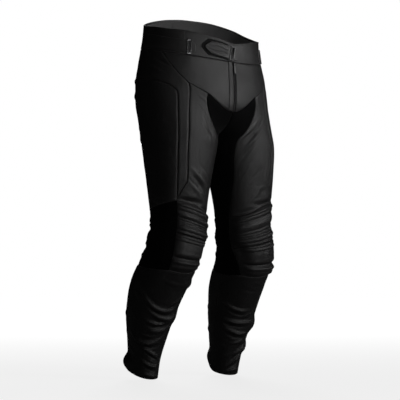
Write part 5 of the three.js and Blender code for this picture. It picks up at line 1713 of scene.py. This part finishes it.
    @staticmethod
    def use(tree: bpy.types.NodeTree, group: bpy.types.NodeTree) -> bpy.types.Node:
        """Places a group in a material.

        Args:
            tree: the material's tree.
            group: the group.

        Returns:
            The group's node.
        """
        node = tree.nodes.new("ShaderNodeGroup")
        node.node_tree = group
        return node

    @staticmethod
    def spread(tree: bpy.types.NodeTree, value: bpy.types.NodeSocket, low: float, high: float,
               start: float = 0.3, end: float = 0.7) -> bpy.types.NodeSocket:
        """Maps a value in a straight line.

        Args:
            tree: the tree that the node goes into.
            value: the value.
            low: what start becomes.
            high: what end becomes.
            start: the value's low end.
            end: its high end.

        Returns:
            The mapped value.
        """
        node = tree.nodes.new("ShaderNodeMapRange")
        node.inputs["From Min"].default_value = start
        node.inputs["From Max"].default_value = end
        node.inputs["To Min"].default_value = low
        node.inputs["To Max"].default_value = high
        tree.links.new(value, node.inputs["Value"])
        return node.outputs["Result"]

    @staticmethod
    def mix(tree: bpy.types.NodeTree, factor: bpy.types.NodeSocket, first: tuple[float, float, float],
            second: tuple[float, float, float]) -> bpy.types.NodeSocket:
        """Mixes two colours.

        Args:
            tree: the tree that the node goes into.
            factor: 0 for the first colour, 1 for the second.
            first: a colour.
            second: a colour.

        Returns:
            The mixed colour.
        """
        node = tree.nodes.new("ShaderNodeMix")
        node.data_type = "RGBA"
        node.inputs["A"].default_value = (*first, 1)
        node.inputs["B"].default_value = (*second, 1)
        tree.links.new(factor, node.inputs["Factor"])
        return node.outputs["Result"]

    @staticmethod
    def bump(tree: bpy.types.NodeTree, height: bpy.types.NodeSocket, strength: float, distance: float,
             under: bpy.types.NodeSocket | None = None) -> bpy.types.NodeSocket:
        """A Bump node, laid over another one where that is given.

        Args:
            tree: the tree that it goes into.
            height: the heights.
            strength: how much of the bump shows, from 0 to 1.
            distance: the height of 1, in metres.
            under: the normal that it is laid over.

        Returns:
            The bumped normal.
        """
        node = tree.nodes.new("ShaderNodeBump")
        node.inputs["Strength"].default_value = strength
        node.inputs["Distance"].default_value = distance
        tree.links.new(height, node.inputs["Height"])
        if under is not None:
            tree.links.new(under, node.inputs["Normal"])
        return node.outputs["Normal"]

    def leather(self, look: LeatherLook) -> bpy.types.Material:
        """Leather: grain and crumple in the bump, wear and clouds in its colour and roughness.

        Args:
            look: the numbers of this leather.

        Returns:
            The material.
        """
        material, tree, shader = self.start(look.name)
        place = tree.nodes.new("ShaderNodeTexCoord").outputs["Object"]
        grain = self.use(tree, self.grain)
        grain.inputs["Cells"].default_value = look.cell
        tree.links.new(place, grain.inputs["Vector"])
        wear = self.use(tree, self.wear)
        tree.links.new(place, wear.inputs["Vector"])
        for socket, attribute in (("Seam", "seam"), ("Rise", "rise")):
            read = tree.nodes.new("ShaderNodeAttribute")
            read.attribute_name = attribute
            tree.links.new(read.outputs["Fac"], wear.inputs[socket])
        color = self.mix(tree, wear.outputs["Wear"], look.color, look.worn)
        tree.links.new(color, shader.inputs["Base Color"])
        rough = self.spread(tree, grain.outputs["Cloud"], *look.rough)
        polish = self.math(tree, "MULTIPLY", wear.outputs["Wear"], self.POLISH)
        tree.links.new(self.math(tree, "SUBTRACT", rough, polish), shader.inputs["Roughness"])
        crumple = self.bump(tree, grain.outputs["Crumple"], *self.LEATHER_BUMP)
        normal = self.bump(tree, grain.outputs["Height"], look.grain, self.GRAIN_HEIGHT, crumple)
        tree.links.new(normal, shader.inputs["Normal"])
        shader.inputs["Specular IOR Level"].default_value = look.gloss
        return material

    def woven(self, look: WovenLook) -> bpy.types.Material:
        """Cloth: crossing threads on the piece's own UV map, darker in the holes.

        Args:
            look: the numbers of this cloth.

        Returns:
            The material.
        """
        material, tree, shader = self.start(look.name)
        coordinates = tree.nodes.new("ShaderNodeTexCoord")
        threads = self.use(tree, self.weave)
        threads.inputs["Thread"].default_value = look.thread
        tree.links.new(coordinates.outputs["UV"], threads.inputs["Vector"])
        grain = self.use(tree, self.grain)
        tree.links.new(coordinates.outputs["Object"], grain.inputs["Vector"])
        thread = self.spread(tree, threads.outputs["Hole"], 1.0, 0.0, 0.0, self.HOLE_START)
        cloud = self.spread(tree, grain.outputs["Cloud"], *self.CLOTH_SHADE)
        shade = self.math(tree, "MULTIPLY", thread, cloud)
        tree.links.new(self.mix(tree, shade, look.deep, look.color), shader.inputs["Base Color"])
        rough = self.spread(tree, grain.outputs["Cloud"], *self.CLOTH_ROUGH)
        tree.links.new(rough, shader.inputs["Roughness"])
        crumple = self.bump(tree, grain.outputs["Crumple"], *self.CLOTH_BUMP)
        normal = self.bump(tree, threads.outputs["Height"], self.THREAD_STRENGTH, look.height, crumple)
        tree.links.new(normal, shader.inputs["Normal"])
        shader.inputs["Sheen Weight"].default_value = look.sheen
        shader.inputs["Sheen Roughness"].default_value = self.SHEEN_ROUGH
        shader.inputs["Specular IOR Level"].default_value = look.gloss
        return material

    def metal(self, look: MetalLook) -> bpy.types.Material:
        """Metal fitting: faint clouds and fine scratches in its roughness.

        Args:
            look: the numbers of this metal.

        Returns:
            The material.
        """
        material, tree, shader = self.start(look.name)
        place = tree.nodes.new("ShaderNodeTexCoord").outputs["Object"]
        grain = self.use(tree, self.grain)
        tree.links.new(place, grain.inputs["Vector"])
        rough = self.spread(tree, grain.outputs["Crumple"], look.rough, look.rough + self.METAL_HAZE)
        tree.links.new(rough, shader.inputs["Roughness"])
        light = tuple(min(1.0, c * self.METAL_CLOUD) for c in look.color)
        color = self.mix(tree, grain.outputs["Cloud"], look.color, light)
        tree.links.new(color, shader.inputs["Base Color"])
        normal = self.bump(tree, grain.outputs["Height"], *self.METAL_BUMP)
        tree.links.new(normal, shader.inputs["Normal"])
        shader.inputs["Metallic"].default_value = look.metallic
        if look.metallic < 0.5:
            shader.inputs["Coat Weight"].default_value = self.COAT[0]
            shader.inputs["Coat Roughness"].default_value = self.COAT[1]
        return material


@dataclass(frozen=True)
class Zip:
    """A closed zip: where it runs, and the size of its teeth."""

    PAST_MIDDLE = 0.7
    TOOTH_SHARE = 0.42

    name: str
    leg: Leg
    round: float
    start: float
    end: float
    pitch: float = 2.1
    reach: float = 3.0
    thick: float = 1.5
    above: float = 0.1

    def teeth(self, form: Form) -> bpy.types.Object:
        """Two rows of teeth that mesh along the middle.

        Each tooth is a short bar across the zip, narrower at its head, and the two rows stand half a
        pitch apart.

        Args:
            form: the garment's surface.

        Returns:
            The joined teeth.
        """
        drops = np.arange(self.start, self.end, self.pitch / 2)
        round_ = np.full(len(drops), self.round)
        at = form.cloth(self.leg, round_, drops)
        out = form.outward(form.cloth, self.leg, round_, drops)
        down = unit(form.cloth(self.leg, round_, drops + 1) - form.cloth(self.leg, round_, drops - 1))
        across = np.cross(out, down)
        hand = np.where(np.arange(len(drops)) % 2 == 0, 1.0, -1.0)[:, None]
        head, root, tall = -self.PAST_MIDDLE, self.reach - self.PAST_MIDDLE, self.pitch * self.TOOTH_SHARE
        profile = [(head, 0.55), (head + 0.8, 0.62), (root, 0.9)]
        rings = []
        for place, share in profile:
            for y, z in ((-1, 0), (-0.6, 1), (0.6, 1), (1, 0), (0.6, -0.5), (-0.6, -0.5)):
                rings.append((place, y * tall * share, z * self.thick / 2 + self.above))
        local = np.array(rings)
        points = (at[:, None] + local[None, :, :1] * (across * hand)[:, None]
                  + local[None, :, 1:2] * down[:, None] + local[None, :, 2:] * out[:, None])
        ring = 6
        faces = []
        for k in range(len(profile) - 1):
            for i in range(ring):
                j = (i + 1) % ring
                faces.append((k * ring + i, k * ring + j, (k + 1) * ring + j, (k + 1) * ring + i))
        caps = [tuple(range(ring))[::-1], tuple(range((len(profile) - 1) * ring, len(profile) * ring))]
        offset = (np.arange(len(drops)) * len(local))[:, None, None]
        all_quads = (np.array(faces)[None] + offset).reshape(-1, 4)
        all_caps = (np.array(caps)[None] + offset).reshape(-1, ring)
        points = points.reshape(-1, 3)
        points[:, 0] *= self.leg.side.value
        obj = mesh_object(self.name, points, [all_quads, all_caps])
        outwards(obj)
        return obj


def outwards(obj: bpy.types.Object) -> None:
    """Turns the faces of closed bodies outwards.

    Args:
        obj: the object.
    """
    work = bmesh.new()
    work.from_mesh(obj.data)
    bmesh.ops.recalc_face_normals(work, faces=work.faces)
    work.to_mesh(obj.data)
    work.free()


@dataclass(frozen=True)
class Fitting:
    """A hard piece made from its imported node, with its edges rounded."""

    WELD = 1e-5
    FLAT = math.radians(2)
    CORNER = math.radians(32)
    CREASE = math.radians(40)

    node: str
    body: str
    finish: Finish
    slot: str
    round_off: float
    segments: int = 3

    def make(self, frame: dict, finishes: Finishes) -> bpy.types.Object:
        """Copies the node's mesh, joins its loose triangles and rounds its edges.

        Args:
            frame: the loaded frame.
            finishes: the materials.

        Returns:
            The piece.
        """
        work = bmesh.new()
        work.from_mesh(frame["nodes"][self.node].data)
        bmesh.ops.remove_doubles(work, verts=work.verts, dist=self.WELD)
        bmesh.ops.dissolve_limit(work, angle_limit=self.FLAT, verts=work.verts, edges=work.edges)
        sharp = [e for e in work.edges if len(e.link_faces) == 2 and e.calc_face_angle(0) > self.CORNER]
        bmesh.ops.bevel(work, geom=sharp, offset=self.round_off * MM, segments=self.segments, profile=0.5,
                        affect="EDGES", clamp_overlap=True)
        bmesh.ops.triangulate(work, faces=[f for f in work.faces if len(f.verts) > 4])
        mesh = bpy.data.meshes.new(f"fitting_{self.node}")
        work.to_mesh(mesh)
        work.free()
        obj = bpy.data.objects.new(f"fitting_{self.node}", mesh)
        bpy.context.scene.collection.objects.link(obj)
        mesh.polygons.foreach_set("use_smooth", np.ones(len(mesh.polygons), bool))
        mesh.set_sharp_from_angle(angle=self.CREASE)
        mesh.materials.clear()
        mesh.materials.append(finishes.of(self.finish))
        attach(obj, self.body)
        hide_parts(self.node)
        return obj


FITTINGS = (
    Fitting("tab_ring", GARMENT, Finish.BLACK_METAL, "black_metal", 0.7),
    Fitting("strap_slide_left", GARMENT, Finish.METAL, "metal", 0.6),
    Fitting("strap_slide_right", GARMENT, Finish.METAL, "metal", 0.6),
    Fitting("fly_zip_slider", GARMENT, Finish.BLACK_METAL, "black_metal", 0.35),
    Fitting("ankle_left_zip_slider", GARMENT, Finish.BLACK_METAL, "black_metal", 0.35),
    Fitting("ankle_right_zip_slider", GARMENT, Finish.BLACK_METAL, "black_metal", 0.35),
    Fitting("fly_zip_pull", "fly_pull", Finish.BLACK_METAL, "black_metal", 0.35),
    Fitting("ankle_left_zip_pull", "ankle_pull_left", Finish.BLACK_METAL, "black_metal", 0.35),
    Fitting("ankle_right_zip_pull", "ankle_pull_right", Finish.BLACK_METAL, "black_metal", 0.35),
)

ZIPS = (
    Zip("zip_teeth_fly", LEFT, 0.0, 53, 211),
    Zip("zip_teeth_ankle_left", LEFT, 0.75, 743, 904),
    Zip("zip_teeth_ankle_right", RIGHT, 0.75, 743, 904),
)


@dataclass(frozen=True)
class Lamp:
    """A soft square light: where it stands and looks, its size in metres, its power and its throw in
    degrees."""

    name: str
    place: tuple[float, float, float]
    aim: tuple[float, float, float]
    size: float
    power: float
    spread: float = 180.0


class Studio:
    """The pale floor, the lights and the camera."""

    AZIMUTH = math.radians(-39)
    DISTANCE = 5.0
    CAMERA_Z = -0.6
    AIM_Z = -0.454
    SENSOR = 36.0
    IMAGE = 400
    FOCAL_PIXELS = 1775.0
    CENTRE_X = 200.7
    FLOOR_GAP = 0.002
    FLOOR_SIDES = 96
    FLOOR_RADIUS = 9000.0
    FLOOR_GLOW = (0.8, 1.0)
    FLOOR_FADE = (0.8, 4.0)
    FLOOR_COLOR = (0.2, 0.2, 0.2, 1)
    FLOOR_ROUGH = 0.9
    FLOOR_GLOSS = 0.1
    WHITE = (1, 1, 1, 1)
    FAR = 60
    LAMPS = (
        Lamp("key", (2.6, -2.4, 0.5), (0.0, 0.0, 0.05), 1.0, 1.1, 31),
        Lamp("front", (0.6, -3.3, 0.1), (0.05, 0.0, 0.1), 1.0, 0.95, 31),
        Lamp("high", (0.9, -3.2, 2.3), (0.0, 0.0, 0.05), 1.2, 1.4, 44),
        Lamp("between", (-1.0, -3.5, 0.1), (0.0, 0.0, 0.1), 1.0, 0.6, 31),
        Lamp("shin", (1.6, -3.0, -0.75), (0.05, 0.0, -0.85), 0.6, 0.12, 24),
        Lamp("fill", (-2.6, -3.4, 0.3), (0.0, 0.0, 0.1), 1.0, 0.35, 31),
        Lamp("back", (2.2, 2.8, 1.2), (0.0, 0.0, -0.45), 1.6, 36.0),
    )
    ROOM_LIGHT = 0.006

    def floor(self, low: float) -> None:
        """A wide pale disc just under the hems. It glows softly to the camera and throws little light back.

        Args:
            low: the floor's height, in metres.
        """
        turn = 2 * np.pi * np.arange(self.FLOOR_SIDES) / self.FLOOR_SIDES
        across, deep = self.FLOOR_RADIUS * np.cos(turn), self.FLOOR_RADIUS * np.sin(turn)
        points = np.stack([across, deep, np.full(self.FLOOR_SIDES, low / MM)], axis=-1)
        disc = mesh_object("floor", points, [np.arange(self.FLOOR_SIDES)[None]])
        disc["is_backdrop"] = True
        material = bpy.data.materials.new("pale_floor")
        material.use_nodes = True
        tree = material.node_tree
        shader = tree.nodes["Principled BSDF"]
        shader.inputs["Base Color"].default_value = self.FLOOR_COLOR
        shader.inputs["Roughness"].default_value = self.FLOOR_ROUGH
        shader.inputs["Specular IOR Level"].default_value = self.FLOOR_GLOSS
        shader.inputs["Emission Color"].default_value = self.WHITE
        place = tree.nodes.new("ShaderNodeTexCoord").outputs["Object"]
        distance = tree.nodes.new("ShaderNodeVectorMath")
        distance.operation = "LENGTH"
        tree.links.new(place, distance.inputs[0])
        glow = Finishes.spread(tree, distance.outputs["Value"], *self.FLOOR_GLOW, *self.FLOOR_FADE)
        path = tree.nodes.new("ShaderNodeLightPath").outputs["Is Camera Ray"]
        tree.links.new(Finishes.math(tree, "MULTIPLY", glow, path), shader.inputs["Emission Strength"])
        disc.data.materials.append(material)

    def world(self) -> None:
        """A pale room that is bright to look at and dim as a light."""
        world = bpy.data.worlds.new("pale_room")
        bpy.context.scene.world = world
        world.use_nodes = True
        tree = world.node_tree
        ground = tree.nodes["Background"]
        ground.inputs["Color"].default_value = self.WHITE
        path = tree.nodes.new("ShaderNodeLightPath")
        power = Finishes.spread(tree, path.outputs["Is Camera Ray"], self.ROOM_LIGHT, 1.0, 0.0, 1.0)
        tree.links.new(power, ground.inputs["Strength"])

    def lights(self) -> None:
        """Hangs the lamps."""
        for lamp in self.LAMPS:
            data = bpy.data.lights.new(lamp.name, "AREA")
            data.size = lamp.size
            data.energy = lamp.power
            data.spread = math.radians(lamp.spread)
            self.look(bpy.data.objects.new(lamp.name, data), lamp.place, lamp.aim)

    def camera(self) -> None:
        """The camera at the photograph's angle and framing."""
        data = bpy.data.cameras.new("camera")
        data.sensor_width = self.SENSOR
        data.lens = self.FOCAL_PIXELS / self.IMAGE * self.SENSOR
        data.shift_x = -(self.CENTRE_X - self.IMAGE / 2) / self.IMAGE
        data.clip_end = self.FAR
        place = Vector((math.sin(self.AZIMUTH), -math.cos(self.AZIMUTH), 0.0)) * self.DISTANCE
        place.z = self.CAMERA_Z
        camera = bpy.data.objects.new("camera", data)
        self.look(camera, place, (0.0, 0.0, self.AIM_Z))
        bpy.context.scene.camera = camera

    @staticmethod
    def look(obj: bpy.types.Object, place: tuple[float, float, float] | Vector,
             aim: tuple[float, float, float]) -> None:
        """Places an object and turns its -Z towards a point.

        Args:
            obj: a light or the camera.
            place: where it stands, in metres.
            aim: the point that it looks at.
        """
        obj.location = place
        direction = Vector(aim) - Vector(place)
        obj.rotation_euler = direction.to_track_quat("-Z", "Y").to_euler()
        bpy.context.scene.collection.objects.link(obj)

    def build(self, low: float) -> None:
        """Makes the whole studio.

        Args:
            low: height of the lowest hem, in metres.
        """
        bpy.context.scene.view_settings.view_transform = "Standard"
        self.floor(low - self.FLOOR_GAP)
        self.world()
        self.lights()
        self.camera()


def main() -> None:
    """Builds the trousers in order and reports each piece."""
    logging.basicConfig(level=logging.INFO, format="%(name)s: %(message)s")
    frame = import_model()
    low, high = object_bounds()
    finishes = Finishes()
    Studio().build(low.z)
    form = Form()
    for leg in LEGS:
        tailor = Tailor(form, leg, finishes)
        for piece in PIECES:
            if leg.side in piece.sides:
                obj = tailor.sew(piece)
                LOG.info("%s: %d faces", obj.name, len(obj.data.polygons))
        stitches = Needle(form, leg, tailor.book).sew(f"stitching_{leg.name}", STITCHING)
        stitches.data.materials.append(finishes.of(Finish.THREAD))
        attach(stitches, GARMENT)
        LOG.info("%s: %d faces", stitches.name, len(stitches.data.polygons))
    for zipper in ZIPS:
        teeth = zipper.teeth(form)
        teeth.data.materials.append(finishes.of(Finish.BLACK_METAL))
        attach(teeth, GARMENT)
        LOG.info("%s: %d faces", teeth.name, len(teeth.data.polygons))
    for fitting in FITTINGS:
        obj = fitting.make(frame, finishes)
        LOG.info("%s: %d faces", obj.name, len(obj.data.polygons))
    low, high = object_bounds()


if __name__ == "__main__":
    main()
